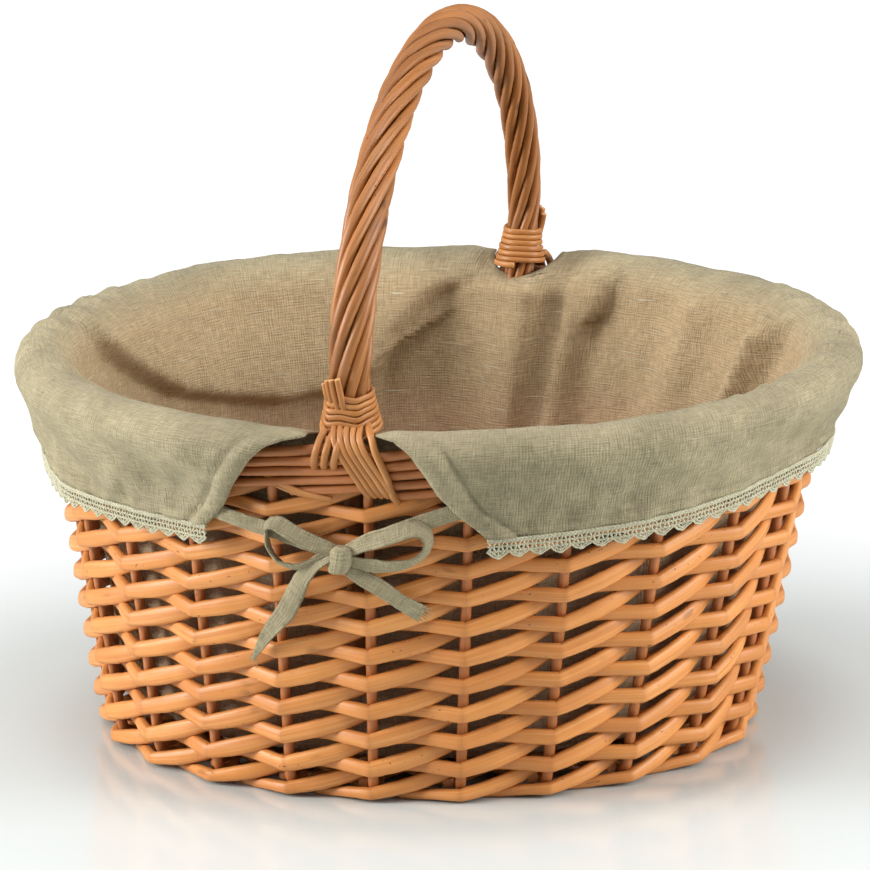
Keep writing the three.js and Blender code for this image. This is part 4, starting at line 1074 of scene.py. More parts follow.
def broken_butts():
    """Two thin broken ends of rods that stick out to the left under the border."""
    butts = []
    for k, lower in enumerate((0.0, 2.6)):
        points = [(-42.0, 199.5 - lower, 4.0), (-33.0, 196.5 - lower, 6.6), (-22.0, 193.0 - 0.6 * lower, 8.2),
                  (-12.0, 190.5 - 0.2 * lower, 8.6), (-5.0 - 3 * k, 189.0, 7.6)]
        butts.append(rod_on_wall(points, -20.0, 1.7 - 0.4 * k, 40, 1.0,
                                 square=2.8, tone=0.9 - 0.5 * k, seed=50 + k))
    return butts


def lashing_surface(s, girth):
    """The lashing of one foot: the coil, the cut ends above it and the rods that lie over the border."""
    radius = s["lashing_rod"] / 2
    first = HANDLE_RADIUS * girth * (1 - FOOT_WAIST) + radius + 0.2
    return stacked([lashing_coil(radius, first), *cut_ends(radius, first), *rods_over_border(radius, first),
                    *broken_butts()])


# Liner.


def cloth_profile(rows):
    """Rows down the cloth: distance outside the wall, height, length along it, and how much of the folds,
    the handle's push and the hem's waves each takes. The line is a corner curve, the straight side, a half
    oval over the rim, then the skirt drawn in."""
    corner = np.linspace(0, 1, 10)[:-1] * np.pi / 2
    corner = np.stack([-CLOTH_INSIDE - CLOTH_CORNER * (1 - np.sin(corner)),
                       CLOTH_FLOOR + CLOTH_CORNER * (1 - np.cos(corner))], 1)
    top = RIM_TOP - RIM_DEPTH
    side_z = np.linspace(CLOTH_FLOOR + CLOTH_CORNER, top, 30)[:-1]
    side = np.stack([np.full(len(side_z), -CLOTH_INSIDE), side_z], 1)
    lean = np.pi * (1 - np.linspace(0, 1, 32))
    middle, half = (RIM_OUT - CLOTH_INSIDE) / 2, (RIM_OUT + CLOTH_INSIDE) / 2
    rim = np.stack([middle + half * np.cos(lean), RIM_TOP - RIM_DEPTH * (1 - np.sin(lean))], 1)
    share = np.linspace(0, 1, 22)[1:]
    drawn = 0.5 * (1 - np.cos(np.pi * share))
    skirt = np.stack([RIM_OUT + (HEM_OUT - RIM_OUT) * drawn, top + (HEM_LEVEL - top) * share], 1)
    points = np.concatenate([corner, side, rim, skirt])
    run = lengths_along(points)
    at = np.linspace(0, run[-1], rows)
    out, z = np.interp(at, run, points[:, 0]), np.interp(at, run, points[:, 1])
    rim_first = len(corner) + len(side)
    rim_start, rim_end = run[rim_first], run[rim_first + len(rim) - 1]
    over = np.clip((at - rim_start) / (rim_end - rim_start), 0, 1)
    hang = np.clip((at - rim_end) / (run[-1] - rim_end), 0, 1)
    values = {
        "out": out, "z": z, "run": at, "over": over, "hang": hang,
        "fold": np.clip((z - CLOTH_FLOOR) / 70, 0, 1) * np.clip(1.5 - 2.6 * over, 0, 1),
        "leg": np.clip((z - CLOTH_FLOOR) / 20, 0, 1) * np.clip(1 - 3 * over, 0, 1),
        "wave": 0.3 * over + 0.7 * hang}
    return {name: column[:, None] for name, column in values.items()}


# Folds of the bag: depth, reach on the two sides of the crest (behind and ahead, counter-clockwise, where
# its line runs down), and the line itself as shares of the way round with heights.
BAG_FOLDS = [
    (8.0, 8.0, 30.0, [(0.489, 236), (0.490, 214), (0.496, 150), (0.500, 90)]),
    (4.5, 20.0, 8.0, [(0.468, 236), (0.469, 214), (0.475, 150), (0.478, 120)]),
    (9.0, 7.0, 24.0, [(0.452, 240), (0.455, 222), (0.458, 204)]),
    (20.0, 20.0, 5.5, [(0.330, 238), (0.337, 220), (0.343, 200), (0.354, 176), (0.365, 150)]),
    (8.0, 10.0, 34.0, [(0.524, 226), (0.545, 214), (0.566, 192), (0.572, 163), (0.574, 120)]),
    (13.0, 70.0, 9.0, [(0.742, 226), (0.731, 209), (0.704, 188), (0.682, 173), (0.650, 163), (0.620, 157),
                       (0.590, 160), (0.572, 172)]),
    (5.0, 22.0, 22.0, [(0.40, 210), (0.42, 120)]),
    (5.0, 20.0, 26.0, [(0.84, 212), (0.80, 120)]),
    (5.0, 24.0, 16.0, [(0.16, 205), (0.14, 110)]),
    (4.0, 20.0, 20.0, [(0.07, 200), (0.06, 110)]),
    (4.0, 18.0, 24.0, [(0.93, 205), (0.95, 110)]),
]


def bag_fold(arc, z):
    """How far the bag is drawn in: each fold is a smooth hump over the distance to its line, with one reach
    on each side of it, so that a short reach makes a steep step."""
    total = 0 * arc
    for depth, behind, ahead, way in BAG_FOLDS:
        line = np.array(way) * [PERIMETER, 1]
        nearest = np.full(arc.shape, 1e9)
        reach = np.full(arc.shape, float(behind))
        for a, b in zip(line[:-1], line[1:]):
            step = b - a
            share = np.clip(((arc - a[0]) * step[0] + (z - a[1]) * step[1]) / (step @ step), 0, 1)
            gap_arc, gap_z = arc - a[0] - share * step[0], z - a[1] - share * step[1]
            gap = np.hypot(gap_arc, gap_z)
            closer = gap < nearest
            reach = np.where(closer, np.where(step[0] * gap_z - step[1] * gap_arc > 0, ahead, behind), reach)
            nearest = np.where(closer, gap, nearest)
        total = total + depth * bump(nearest, reach)
    return total


def skirt_wave(arc):
    """Even waves of the hem, from its inner line outwards."""
    return SKIRT_WAVE_DEPTH * (1 - np.cos(TURN * SKIRT_WAVES * arc / PERIMETER))


def hem_swell(arc):
    """Uneven sway of the hem about its waves."""
    return 0.8 * wander(arc, 8, 61.0)


def hem_rise(arc):
    """How far the hem is drawn up: a hump about the right end of the oval."""
    share = arc / PERIMETER - 0.25
    return HEM_RISE * bump(share - np.round(share), HEM_RISE_REACH)


def slit_edges(profile):
    """Half width of the slit to the left and right at each row: none in the bag, a round end under the
    handle, straight over the rim, and then along the curved edges of the two flaps."""
    z, over = profile["z"], profile["over"]
    inside = np.clip((z - SLIT_FOOT) / (RIM_TOP - SLIT_FOOT), 0, 1) * (over < 0.5)
    mouth = SLIT_HALF_WIDTH * np.sqrt(1 - (1 - inside) ** 2)
    down = np.clip((RIM_TOP - z) / (RIM_TOP - HEM_LEVEL), 0, 1) * (over > 0.5)
    return [np.where(over > 0.5, np.interp(down, *edge), mouth) for edge in (FLAP_EDGE_LEFT, FLAP_EDGE_RIGHT)]


def cloth_half(half, p, ease):
    """Half of the liner, from one slit to the other: arcs run evenly between the slits, and each row of the
    profile gives height and distance. Folds, the handle's push, the skirt's waves and dents, gathers at the
    rim's ends, the hems and two scales of ripples move the cloth in and out."""
    left, right = slit_edges(p)
    begin, end = right, PERIMETER / 2 - left
    arc = half * PERIMETER / 2 + begin + (end - begin) * ease
    edge = np.minimum(ease, 1 - ease) * (end - begin)
    run, z, out = (p[name] + 0 * arc for name in ("run", "z", "out"))
    fold, over, hang = p["fold"], p["over"], p["hang"]
    puffed = np.sin(np.pi * over)
    crumple = ripples(arc, run, 5, 90.0, 110.0, 4, PERIMETER)
    small = ripples(arc, run, 6, 22.0, 60.0, 3, PERIMETER)
    dents = ripples(arc, run, 12, 62.0, 40.0, 2, PERIMETER)
    at_end = bump(np.mod(arc / PERIMETER, 0.5) - 0.27, 0.14)
    pucker = wander(arc + 0.35 * (p["run"] - 230), 31, 24.0, 2) * at_end * bump(over - 0.42, 0.62)
    drawn = fold * bag_fold(arc, z)

    # The bag and the rim.
    from_leg = np.minimum(np.abs(arc - half * PERIMETER / 2), np.abs(arc - (half + 1) * PERIMETER / 2))
    push = np.interp(z, LEG_LEVELS, LEG_BUMPS) * np.clip(1 - (from_leg / LEG_REACH) ** 2, 0, 1) ** 1.5
    out = out - drawn * (1 - 0.6 * puffed) - p["leg"] * push + p["wave"] * skirt_wave(arc)
    out = out + PUCKER_OUT * pucker * np.cos(np.pi * (1 - over))
    body = np.clip((p["run"] - 6) / 20, 0, 1)
    out = out + body * (1 - 0.6 * puffed) * (0.9 * crumple * (0.4 + 0.6 * fold) + 0.35 * small)
    z = z + hang * hem_rise(arc) + puffed * (
        0.9 * crumple + 0.3 * small + PUCKER_UP * pucker - 2.0 * bump(edge, 12.0))
    z = z + 0.35 * drawn * puffed
    out = out + puffed * np.cos(np.pi * over) * (0.7 * crumple + 0.5 * small)
    # The skirt.
    out = out + hang * (hem_swell(arc) * (0.3 + 0.7 * hang) + 0.25 * small)
    out = out + (DENT_DEPTH * dents - SKIRT_HOLLOW) * np.sin(np.pi * np.clip(hang * 0.93, 0, 1))
    gathers = wander(arc + 0.5 * p["run"], 37, 31.0, 2) * np.clip(hang * 1.6 - 0.3, 0, 1)
    out = out + GATHER_DEPTH * gathers * np.clip((edge - 12) / 20, 0, 1) * np.sin(
        np.pi * np.clip(hang, 0, 1)) ** 0.6

    # The hems: a stitched dent along each, and for the side hems a bulge between it and the edge.
    hem = bump(p["run"][-1] - p["run"] - HEM_WIDTH, 1.8) * (hang > 0)
    turned = np.clip((over - 0.55) * 4, 0, 1)
    band = np.where(ease < 0.5, SIDE_HEM_RIGHT, SIDE_HEM_LEFT)[None]
    side_hem = bump(edge - band, 2.6) * turned
    out = out - 0.55 * hem
    out = out - 1.7 * side_hem + 2.2 * bump(edge - 0.48 * band, 0.6 * band) * turned
    # Painted shade: darker in the hems' stitched dents, and browner inside the bag, fading out over the rim.
    hem_dent_shade = np.clip(hem + side_hem, 0, 1)
    shade = np.where(hem_dent_shade > 0.05, -0.5 * hem_dent_shade, np.clip(1 - over * 2.4, 0, 1) * 0.9 + 0 * arc)
    # Painted warm bounce light from the willow, stronger towards the bag's bottom.
    painted_bounce = 0.5 - 0.5 * np.clip((PAINTED_BOUNCE_LEVEL - z) / 30.0, 0, 1) * (over < 0.3)

    quads, corners = grid_faces(*arc.shape, False)
    real_arc = arc * (1 + (p["out"] + 20) / 2400)
    uvs = np.stack([real_arc[corners[..., 0], corners[..., 1]], run[corners[..., 0], 0]], -1) / 1000
    return Surface(on_wall(arc, z, out), quads, uvs, tone=painted_bounce.ravel(), shade=shade.ravel())


def bag_bottom(rim):
    """The bag's bottom: the lowest row drawn in to the middle in rings, with a slow swell."""
    rings, around = 13, len(rim)
    q = (1 - np.linspace(0, 1, rings + 1)[1:-1]) ** 0.9
    floor = (rim * [1, 1, 0])[None] * q[:, None, None] + [0, 0, CLOTH_FLOOR]
    swell = ripples(floor[..., 0], floor[..., 1], 9, 120.0, 120.0, 3)
    floor[..., 2] += 0.8 + 0.7 * swell * np.clip(1 - q[:, None] ** 6, 0, 1)
    floor = np.concatenate([rim[None], floor])
    quads, corners = grid_faces(rings, around, True)
    uvs = floor[corners[..., 0], corners[..., 1] % around, :2] / 1000
    points = np.concatenate([floor.reshape(-1, 3), [[0, 0, CLOTH_FLOOR + 0.8]]])
    j = np.arange(around)
    last = (rings - 1) * around
    tris = np.stack([last + j, last + (j + 1) % around, np.full(around, len(points) - 1)], 1)
    tri_uvs = points[tris][..., :2] / 1000
    # Painted shade and painted warm bounce light over the whole of the bottom.
    return Surface(points, quads[:, ::-1], uvs[:, ::-1], tris[:, ::-1], tri_uvs[:, ::-1], tone=0.0, shade=0.9)


def liner_surface():
    """The liner: two halves between the slits, and the bottom that joins them."""
    rows, columns = 124, 168
    profile = cloth_profile(rows)
    share = np.linspace(0, 1, columns)
    ease = share - 0.10 * np.sin(TURN * share) / TURN
    halves = [cloth_half(half, profile, ease) for half in (0, 1)]
    return stacked([*halves, bag_bottom(np.concatenate([sheet.points[:columns] for sheet in halves]))])


# Lace.


def hem_point(arc, drop, out=0.0):
    """A point on the lace: along the hem, down from it and out from its middle."""
    return on_wall(arc, HEM_LEVEL + hem_rise(arc) - drop, HEM_OUT + skirt_wave(arc) + hem_swell(arc) + out)


def yarn(arc, drop, out, radius, sides=5):
    """A crochet thread through points of the lace."""
    across = oval_normal(angle_at(arc))
    return tube(hem_point(arc, drop, out), across, radius, radius, sides=sides, square=2.0)


def lace_surface(half):
    """Crochet edging: four chains with two rows of leaning posts between them, and below them one small
    scallop every 11 mm, of two nested arcs with three short legs."""
    rng = np.random.default_rng(640 + half)
    start = half * PERIMETER / 2 + FLAP_RIGHT
    end = (half + 1) * PERIMETER / 2 - FLAP_LEFT
    motifs = int(round((end - start) / SCALLOP_PITCH))
    pitch = (end - start) / motifs
    t = np.linspace(0, motifs, motifs * 14 + 1)
    twist = TURN * 5 * t
    threads = [yarn(start + pitch * t, drop + 0.25 * np.sin(twist + drop), 0.3 * np.cos(twist + drop), radius)
               for drop, radius in LACE_CHAINS]
    step = np.linspace(0, 1, 4)
    for top, lean, radius in ((1.9, 0.9, 0.56), (4.8, -1.3, 0.6)):
        for k in range(motifs * 5):
            middle = start + pitch * (k + rng.uniform(0.4, 0.6)) / 5
            threads.append(yarn(middle + lean * (-1) ** k * (step - 0.5), top + 2.6 * step,
                                0.3 * np.sin(np.pi * step), radius))
    point = np.linspace(-1, 1, 11)
    leg = np.linspace(0, 1, 3)
    for k in range(motifs):
        middle = start + pitch * (k + 0.5)
        depth = rng.uniform(3.5, 4.4)
        for width, radius in ((1.0, 0.72), (0.55, 0.66)):
            fall = (depth + 0.3 * np.sin(point * 9.4)) * (0.25 + 0.75 * width) * (1 - np.abs(point) ** 1.5)
            threads.append(yarn(middle + point * width * pitch / 2, SCALLOP_TOP + fall,
                                0.25 * np.cos(point * 7), radius))
        for side in (-0.5, 0.0, 0.5):
            threads.append(yarn(middle + pitch / 2 * side * (1 + 0.1 * leg),
                                SCALLOP_TOP + 0.8 * depth * (1 - abs(side) ** 1.5) * leg, 0.1, 0.55, 4))
    return stacked(threads)


# Ties.


def ribbon(points, widths, lean, count, seed, s):
    """Tape along a line on the wall: a flat section with rounded edges, its width turned from the wall's
    own plane by an angle that runs along it; points are (arc, height, distance out)."""
    arcs, levels, outs = np.array(points, float).T
    path = spline(on_wall(arcs, levels, outs), count, 1.5)
    along = unit(np.gradient(path, axis=0))
    flat = unit(np.cross(along, normal_near(path)))
    share = np.linspace(0, 1, count)
    angle = np.interp(share, np.linspace(0, 1, len(lean)), lean)[:, None]
    across = flat * np.cos(angle) + unit(np.cross(along, flat)) * np.sin(angle)
    thin = unit(np.cross(along, across))
    wide = s["tape_width"] / 2 * np.interp(share, np.linspace(0, 1, len(widths)), widths)
    v = np.linspace(-1, 1, 13)
    edge, stitches = np.exp(-((np.abs(v) - 0.8) / 0.08) ** 2), np.exp(-((np.abs(v) - 0.62) / 0.05) ** 2)
    dome = (1 - 0.55 * v**4) * (1 + 0.25 * edge - 0.3 * stitches)
    curl = 0.5 * np.sin(share * 9 + seed)[:, None]
    crumple = 0.45 * wander(share * 100, seed, 12.0)[:, None] * v + 1.3 * curl * (v**2 - 0.4)
    front, back = (path[:, None] + across[:, None] * (wide[:, None] * v)[..., None]
                   + thin[:, None] * (way * dome[None] + crumple)[..., None] for way in (1.0, -1.0))
    loop = np.concatenate([front, back[:, ::-1]], 1)
    ring = loop.shape[1]
    quads, corners = grid_faces(count, ring, True)
    run = np.linspace(0, lengths_along(path)[-1], count)
    place = np.concatenate([v, v[::-1] + 2.4, [-1.0]]) * s["tape_width"] / 2
    uvs = np.stack([run[corners[..., 0]], place[corners[..., 1]]], -1) / 1000
    points = np.concatenate([loop.reshape(-1, 3), [loop[0].mean(0), loop[-1].mean(0)]])
    return Surface(points, quads, uvs, end_fans(count, ring), np.zeros((2 * ring, 3, 2)))


def fixed_way(surface):
    """Turns every face round where the closed surface's volume comes out negative."""
    a, b, c, d = (surface.points[surface.quads[:, k]] for k in range(4))
    volume = (a * np.cross(b, c)).sum() + (a * np.cross(c, d)).sum()
    a, b, c = (surface.points[surface.tris[:, k]] for k in range(3))
    if volume + (a * np.cross(b, c)).sum() < 0:
        surface.quads, surface.quad_uvs = surface.quads[:, ::-1], surface.quad_uvs[:, ::-1]
        surface.tris, surface.tri_uvs = surface.tris[:, ::-1], surface.tri_uvs[:, ::-1]
    return surface


def knot_surface():
    """The knot: a superellipsoid, soft and squarish, with a groove on each side of its middle band."""
    rows, ring = 28, 36
    theta, phi = np.linspace(0.02, np.pi - 0.02, rows)[:, None], TURN * np.arange(ring)[None] / ring
    x, y, z = np.sin(theta) * np.cos(phi), np.sin(theta) * np.sin(phi), np.cos(theta) + 0 * phi
    size = (np.abs(x) ** KNOT_POWER + np.abs(y) ** KNOT_POWER + np.abs(z) ** KNOT_POWER) ** (-1 / KNOT_POWER)
    groove = 1 - 0.16 * np.exp(-((np.abs(x * size) - 0.62) / 0.12) ** 2)
    groove = groove + 0.05 * np.sin(3.2 * z * size + 2 * x)
    half_wide, half_deep, half_high = KNOT_HALF
    arc, level, out = KNOT_AT
    height = half_high * z * size
    points = on_wall(arc + half_wide * x * size * groove + KNOT_TILT * height, height + level,
                     out - half_deep * y * size * groove)
    quads, corners = grid_faces(rows, ring, True)
    uvs = corners[..., ::-1] * [1.0, 0.7] / 1000
    points = np.concatenate([points.reshape(-1, 3), [points[0].mean(0), points[-1].mean(0)]])
    return Surface(points, quads, uvs, end_fans(rows, ring), np.zeros((2 * ring, 3, 2)))


def frayed_threads(end, way, count, width):
    """Loose threads at a tape's cut end: short bent rods fanned about its direction."""
    rng = np.random.default_rng(77 + count)
    way = np.array(way) / math.hypot(*way)
    aside = np.array([-way[1], way[0]])
    threads = []
    for side in np.linspace(-1, 1, count):
        fan = way + aside * (side * 0.35 + rng.uniform(-0.25, 0.25))
        begin = np.array(end[:2]) + aside * side * width * 0.8 - way * 1.5
        length = rng.uniform(2.5, 6.0)
        points = [(*(begin + fan * length * k), end[2] + 0.4 * rng.uniform(-1, 1) + 0.5 * k)
                  for k in (0.0, 0.5, 1.0)]
        arcs, levels, outs = np.array(points).T
        threads.append(rod_along(on_wall(arcs, levels, outs), (0, 0, 1), 0.24, 8, sides=5))
    return threads


# The bow's tapes, each as points (arc, height, distance out), shares of the width, turns of the width out of
# the wall's plane, count of points and seed: two loops that go out and come back, two tails, and two tapes
# to the flaps.
LEFT_TAIL_END = (-53, 87.2, 13.2)
RIGHT_TAIL_END = (43.5, 121.3, 12.8)
TAPES = [
    ([(-1, 160, 15.5), (-10.5, 164, 17.5), (-18.5, 167.5, 18.5), (-26, 172, 18.5), (-33, 175, 17),
      (-38, 173, 16), (-39, 166, 15.5), (-37.5, 157.5, 15.5), (-32, 150.5, 16), (-24, 148.5, 16.5),
      (-15, 151, 17), (-7, 155, 16.5), (-1, 157, 15.5)],
     [0.7, 1, 1, 1, 1, 0.95, 0.7], [0.35, 0.45, 0.6, 1.1, 1.3, 1.1, 0.8, 0.4], 110, 2),
    ([(4, 160, 15.5), (15, 166.5, 17.5), (26, 171, 18.5), (35, 174.5, 18), (42, 175, 17),
      (46.5, 170.5, 16.5), (46.5, 163.5, 16), (42.5, 157, 16), (36, 153.5, 16.5), (27, 152, 16.5),
      (16.5, 152.5, 16), (4, 155, 15.5)],
     [0.7, 1.1, 1.1, 1, 1, 1, 0.7], [-0.2, -0.2, -0.35, -0.9, -1.2, -0.8, -0.35, -0.3], 110, 3),
    ([(0, 159, 16.5), (-9.5, 154, 18.5), (-15, 148.3, 17.5), (-20.5, 140.7, 15.5), (-25.8, 130.2, 14),
      (-31.5, 119, 13.2), (-38.8, 109.6, 13), (-46.5, 98.5, 13), LEFT_TAIL_END],
     [0.75, 0.9, 1.1, 1.28, 1.3, 1.05, 0.7, 0.25], [0.5, 0.25, 0.1, 0], 90, 4),
    ([(2, 151.5, 15.5), (12, 144.5, 15.5), (22.5, 137, 14.2), (33, 128.5, 13.2), RIGHT_TAIL_END],
     [0.75, 1, 1, 0.95, 1.05], [-0.5, -0.3, 0.1, 0], 60, 5),
    ([(-1, 157, 14), (-21.5, 163.5, 12.2), (-35.5, 168.5, 11.8), (-49.5, 171.5, 11.8), (-62.5, 174.5, 11.8),
      (-80, 178.5, 11.6)],
     [0.6, 0.9, 0.9, 0.9], [0.5, 0.15, 0, 0], 60, 6),
    ([(4, 158, 14), (21.5, 168, 12.2), (37, 175, 11.8), (52, 181, 11.8), (62, 184.2, 11.8), (76, 188, 11.6)],
     [0.6, 1, 1.02, 1.02], [-0.5, -0.15, 0, 0], 60, 7),
]


def tie_surface(s):
    """One bow: its tapes, the loose threads at the two tails' ends, and the knot."""
    parts = [*(ribbon(*tape, s) for tape in TAPES),
             *frayed_threads(RIGHT_TAIL_END, (1.0, -0.7), 9, 5.0),
             *frayed_threads(LEFT_TAIL_END, (-0.62, -0.95), 4, 2.6),
             knot_surface()]
    return stacked([fixed_way(part) for part in parts])


# Operators.


def willow(kind):
    """The willow finish of a slot, made once and named apart from the CAD's own."""
    name = kind + "_finish"
    if name in bpy.data.materials:
        return bpy.data.materials[name]
    c = bpy.context.scene.willow_colours
    colour, pale, dark = {
        "willow_weavers": (c.weaver, c.weaver_pale, c.weaver_dark),
        "willow_stakes": (c.stake, deepened(c.weaver, 0.9), deepened(c.weaver_dark, 0.62)),
        "willow_base": (deepened(c.weaver, 0.85), c.weaver_pale, c.stake),
        "willow_handle": (c.handle, deepened(c.weaver_pale, 0.62), deepened(c.handle, 0.5)),
        # The lashing is a darker copy of the weavers' willow: partly painted shade for the gaps between its
        # turns.
        "willow_lashing": (deepened(c.weaver, 0.68), deepened(c.weaver_pale, 0.72),
                           deepened(c.weaver_dark, 0.6)),
    }[kind]
    return willow_finish(name, colour, pale, dark, 1.0 if kind == "willow_handle" else 0.5)


def linen(kind):
    """The cloth finish of a slot, made once and named apart from the CAD's own."""
    name = kind + "_finish"
    if name in bpy.data.materials:
        return bpy.data.materials[name]
    c = bpy.context.scene.liner_colours
    if kind == "lace":
        return thread_finish(name, c.lace, c.lace_pale)
    slubs = 1.0 if kind == "linen" else 0.5
    return linen_finish(name, c.linen, c.linen_pale, c.linen_inside, slubs)


class BASKET_OT_base(bpy.types.Operator):
    """Build the oval base: the pierced slath and the two chased weavers"""
    bl_idname = "basket.base"
    bl_label = "Base"

    def execute(self, context):
        finish = willow("willow_base")
        piece("base_sticks", base_sticks_surface(), finish, ["base_cross_sticks"])
        for letter, start in (("a", 0), ("b", STAKES // 2)):
            piece(f"base_spiral_{letter}", base_weaver_surface(start), finish,
                  [f"base_weaver_{letter}"])
        return {"FINISHED"}


class BASKET_OT_stakes(bpy.types.Operator):
    """Build the stakes with the border that their tops make"""
    bl_idname = "basket.stakes"
    bl_label = "Stakes and border"

    def execute(self, context):
        s = sizes()
        for i in range(STAKES):
            piece(f"stake_rod_{i + 1:02d}", stake_surface(i, s), willow("willow_stakes"),
                  [f"stake_{i + 1:02d}"])
        return {"FINISHED"}


class BASKET_OT_weavers(bpy.types.Operator):
    """Build the weaving rods of the randed wall"""
    bl_idname = "basket.weavers"
    bl_label = "Weavers"

    def execute(self, context):
        s = sizes()
        for i in range(STAKES):
            piece(f"weaver_rod_{i + 1:02d}", weaver_surface(i, s), willow("willow_weavers"),
                  [f"weaver_{i + 1:02d}"])
        return {"FINISHED"}


class BASKET_OT_handle(bpy.types.Operator):
    """Build the bow handle: its core and the rods roped round it"""
    bl_idname = "basket.handle"
    bl_label = "Handle"

    def execute(self, context):
        s = sizes()
        finish = willow("willow_handle")
        piece("bow_core", handle_core_surface(), finish, ["handle_core"])
        for i in range(STRANDS // 2):
            piece(f"roped_rod_{i + 1}", handle_strand_surface(i, s), finish,
                  [f"handle_strand_{i + 1}"])
        return {"FINISHED"}


class BASKET_OT_lashings(bpy.types.Operator):
    """Build the lashing of each handle foot"""
    bl_idname = "basket.lashings"
    bl_label = "Lashings"

    def execute(self, context):
        s = sizes()
        finish = willow("willow_lashing")
        front, rear = lashing_surface(s, FRONT_GIRTH), lashing_surface(s, BACK_GIRTH).turned()
        piece("bound_foot_front", front, finish, ["lashing_front"])
        piece("bound_foot_rear", rear, finish, ["lashing_rear"])
        return {"FINISHED"}


class BASKET_OT_liner(bpy.types.Operator):
    """Build the linen liner, folded over the rim and slit at the handle"""
    bl_idname = "basket.liner"
    bl_label = "Liner"

    def execute(self, context):
        cloth = piece("linen_liner", liner_surface(), linen("linen"), ["liner"])
        weld = cloth.modifiers.new("Weld seams", "WELD")
        weld.merge_threshold = 0.00002
        wall = cloth.modifiers.new("Cloth thickness", "SOLIDIFY")
        wall.thickness = context.scene.basket_sizes.cloth_thickness
        wall.offset = 0.0
        return {"FINISHED"}


class BASKET_OT_lace(bpy.types.Operator):
    """Build the crochet edging of the two skirt halves"""
    bl_idname = "basket.lace"
    bl_label = "Lace"

    def execute(self, context):
        for half, side in ((0, "right"), (1, "left")):
            piece(f"crochet_{side}", lace_surface(half), linen("lace"), [f"lace_{side}"])
        return {"FINISHED"}


class BASKET_OT_ties(bpy.types.Operator):
    """Build the tape bows under the two handle feet"""
    bl_idname = "basket.ties"
    bl_label = "Ties"

    def execute(self, context):
        surface = tie_surface(sizes())
        finish = linen("linen_tape")
        piece("tape_bow_front", surface, finish, ["tie_front"])
        piece("tape_bow_rear", surface.turned(), finish, ["tie_rear"])
        return {"FINISHED"}


def pale_floor(scene):
    """A plain floor that keeps the basket's shadow and turns to white for the camera away from it."""
    mesh = bpy.data.meshes.new("floor")
    r = FLOOR_REACH
    mesh.from_pydata([(-r, -r, 0), (r, -r, 0), (r, r, 0), (-r, r, 0)], [], [(0, 1, 2, 3)])
    floor = bpy.data.objects.new("floor", mesh)
    scene.collection.objects.link(floor)
    f = Finish("pale_floor", Roughness=0.16, Specular_IOR_Level=0.9, Base_Color=FLOOR_COLOUR)
    place = f.node("ShaderNodeTexCoord", out="Object")
    far = f.node("ShaderNodeVectorMath", {"operation": "LENGTH"}, place, out="Value")
    seen = f.node("ShaderNodeLightPath", out="Is Camera Ray")
    white = seen * (far.band(0.28, 0.54) * 0.82 + far.band(0.19, 0.26) * 0.18)
    glow = f.node("ShaderNodeEmission", {}, Color=(1, 1, 1, 1), Strength=1.1)
    blend = f.node("ShaderNodeMixShader", {}, white, Value(f, f.shader.outputs[0]), glow)
    f.tree.links.new(blend.socket, f.output.inputs["Surface"])
    mesh.materials.append(f.material)


def studio_world(scene):
    """An even white sky, soft as light and plain white to the camera."""
    world = bpy.data.worlds.new("studio")
    scene.world = world
    world.use_nodes = True
    nodes, links = world.node_tree.nodes, world.node_tree.links
    nodes.clear()
    pick = nodes.new("ShaderNodeMixShader")
    links.new(nodes.new("ShaderNodeLightPath").outputs["Is Camera Ray"], pick.inputs[0])
    for k, strength in ((1, SKY_STRENGTH), (2, 1.0)):
        sky = nodes.new("ShaderNodeBackground")
        sky.inputs["Color"].default_value = (1, 1, 1, 1)
        sky.inputs["Strength"].default_value = strength
        links.new(sky.outputs[0], pick.inputs[k])
    links.new(pick.outputs[0], nodes.new("ShaderNodeOutputWorld").inputs["Surface"])


def area_lamp(scene, name, place, aim, size, power):
    """A square lamp at a place, turned to its aim."""
    data = bpy.data.lights.new(name, "AREA")
    data.size = size
    data.energy = power
    lamp = bpy.data.objects.new(name, data)
    scene.collection.objects.link(lamp)
    lamp.location = place
    lamp.rotation_euler = (Vector(aim) - Vector(place)).to_track_quat("-Z", "Y").to_euler()


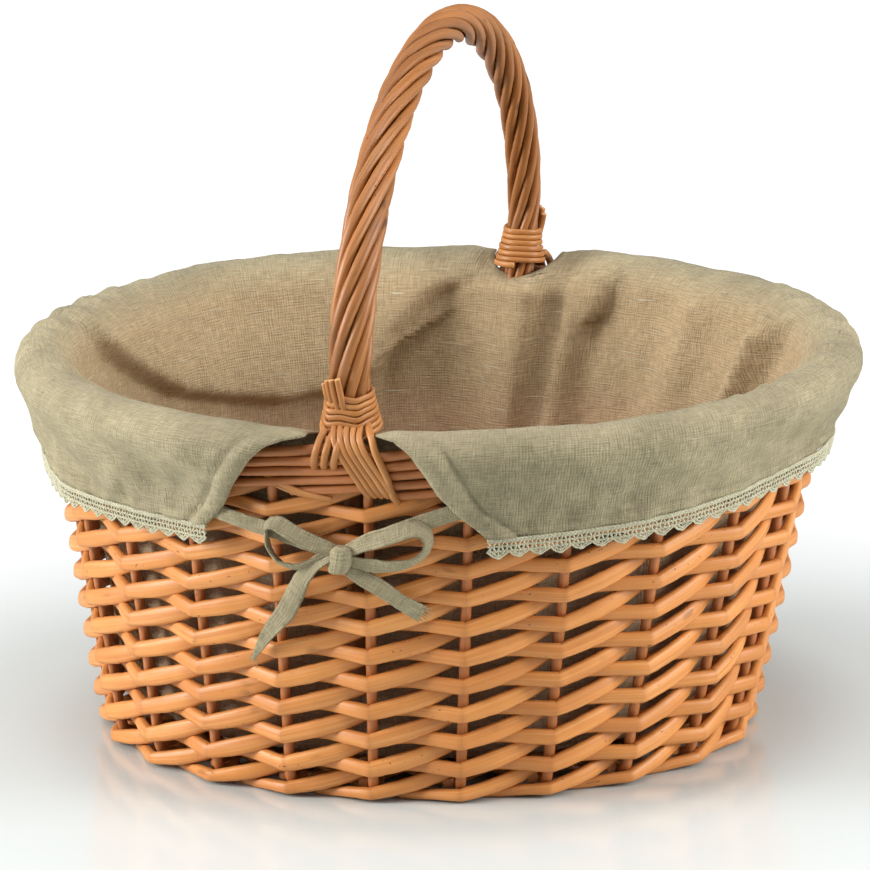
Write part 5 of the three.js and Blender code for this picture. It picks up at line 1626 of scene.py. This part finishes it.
def photo_camera(scene):
    """A long lens from far away, above and to the right of the front, with a small roll. Its aim is moved
    from the target by a few pixels of the picture."""
    data = bpy.data.cameras.new("camera")
    camera = bpy.data.objects.new("camera", data)
    scene.collection.objects.link(camera)
    data.sensor_width = SENSOR_WIDTH
    data.lens = FOCAL_PIXELS / PHOTO_PIXELS * SENSOR_WIDTH
    data.clip_start, data.clip_end = 0.1, 60.0
    target = Vector(CAMERA_TARGET)
    level = math.cos(CAMERA_RISE)
    away = Vector((-math.sin(CAMERA_TURN) * level, -math.cos(CAMERA_TURN) * level, math.sin(CAMERA_RISE)))
    place = target + away * CAMERA_DISTANCE
    tilt = Matrix.Rotation(-CAMERA_ROLL, 3, "Z")
    turned = (-away).to_track_quat("-Z", "Y").to_matrix() @ tilt
    left_by, up_by = (pixels / PIXELS_PER_METRE for pixels in AIM_PIXELS)
    aim = target - turned.col[0] * left_by + turned.col[1] * up_by
    facing = (aim - place).to_track_quat("-Z", "Y").to_matrix() @ tilt
    camera.matrix_world = Matrix.Translation(place) @ facing.to_4x4()
    scene.camera = camera


class BASKET_OT_stage(bpy.types.Operator):
    """Set up the pale floor, the soft light and the camera"""
    bl_idname = "basket.stage"
    bl_label = "Stage"

    def execute(self, context):
        pale_floor(context.scene)
        studio_world(context.scene)
        for lamp in LAMPS:
            area_lamp(context.scene, *lamp)
        photo_camera(context.scene)
        context.scene.view_settings.view_transform = "Standard"
        return {"FINISHED"}


STEPS = (BASKET_OT_base, BASKET_OT_stakes, BASKET_OT_weavers, BASKET_OT_handle, BASKET_OT_lashings,
         BASKET_OT_liner, BASKET_OT_lace, BASKET_OT_ties, BASKET_OT_stage)


class BASKET_PT_panel(bpy.types.Panel):
    """Sidebar list of the basket's sizes, colours and steps"""
    bl_idname = "BASKET_PT_panel"
    bl_label = "Willow Basket"
    bl_space_type = "VIEW_3D"
    bl_region_type = "UI"
    bl_category = "Basket"

    def draw(self, context):
        for group in (context.scene.basket_sizes, context.scene.willow_colours, context.scene.liner_colours):
            box = self.layout.box()
            for name in type(group).__annotations__:
                box.prop(group, name)
        for step in STEPS:
            self.layout.operator(step.bl_idname)


GROUPS = (("basket_sizes", BasketSizes), ("willow_colours", WillowColours), ("liner_colours", LinerColours))


def register():
    for name, group in GROUPS:
        bpy.utils.register_class(group)
        setattr(bpy.types.Scene, name, bpy.props.PointerProperty(type=group))
    for step in STEPS:
        bpy.utils.register_class(step)
    bpy.utils.register_class(BASKET_PT_panel)


def unregister():
    bpy.utils.unregister_class(BASKET_PT_panel)
    for step in reversed(STEPS):
        bpy.utils.unregister_class(step)
    for name, group in reversed(GROUPS):
        delattr(bpy.types.Scene, name)
        bpy.utils.unregister_class(group)


def main():
    """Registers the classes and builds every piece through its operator."""
    register()
    for step in STEPS:
        family, name = step.bl_idname.split(".")
        getattr(getattr(bpy.ops, family), name)()
    bpy.context.view_layer.update()


if __name__ == "__main__":
    main()
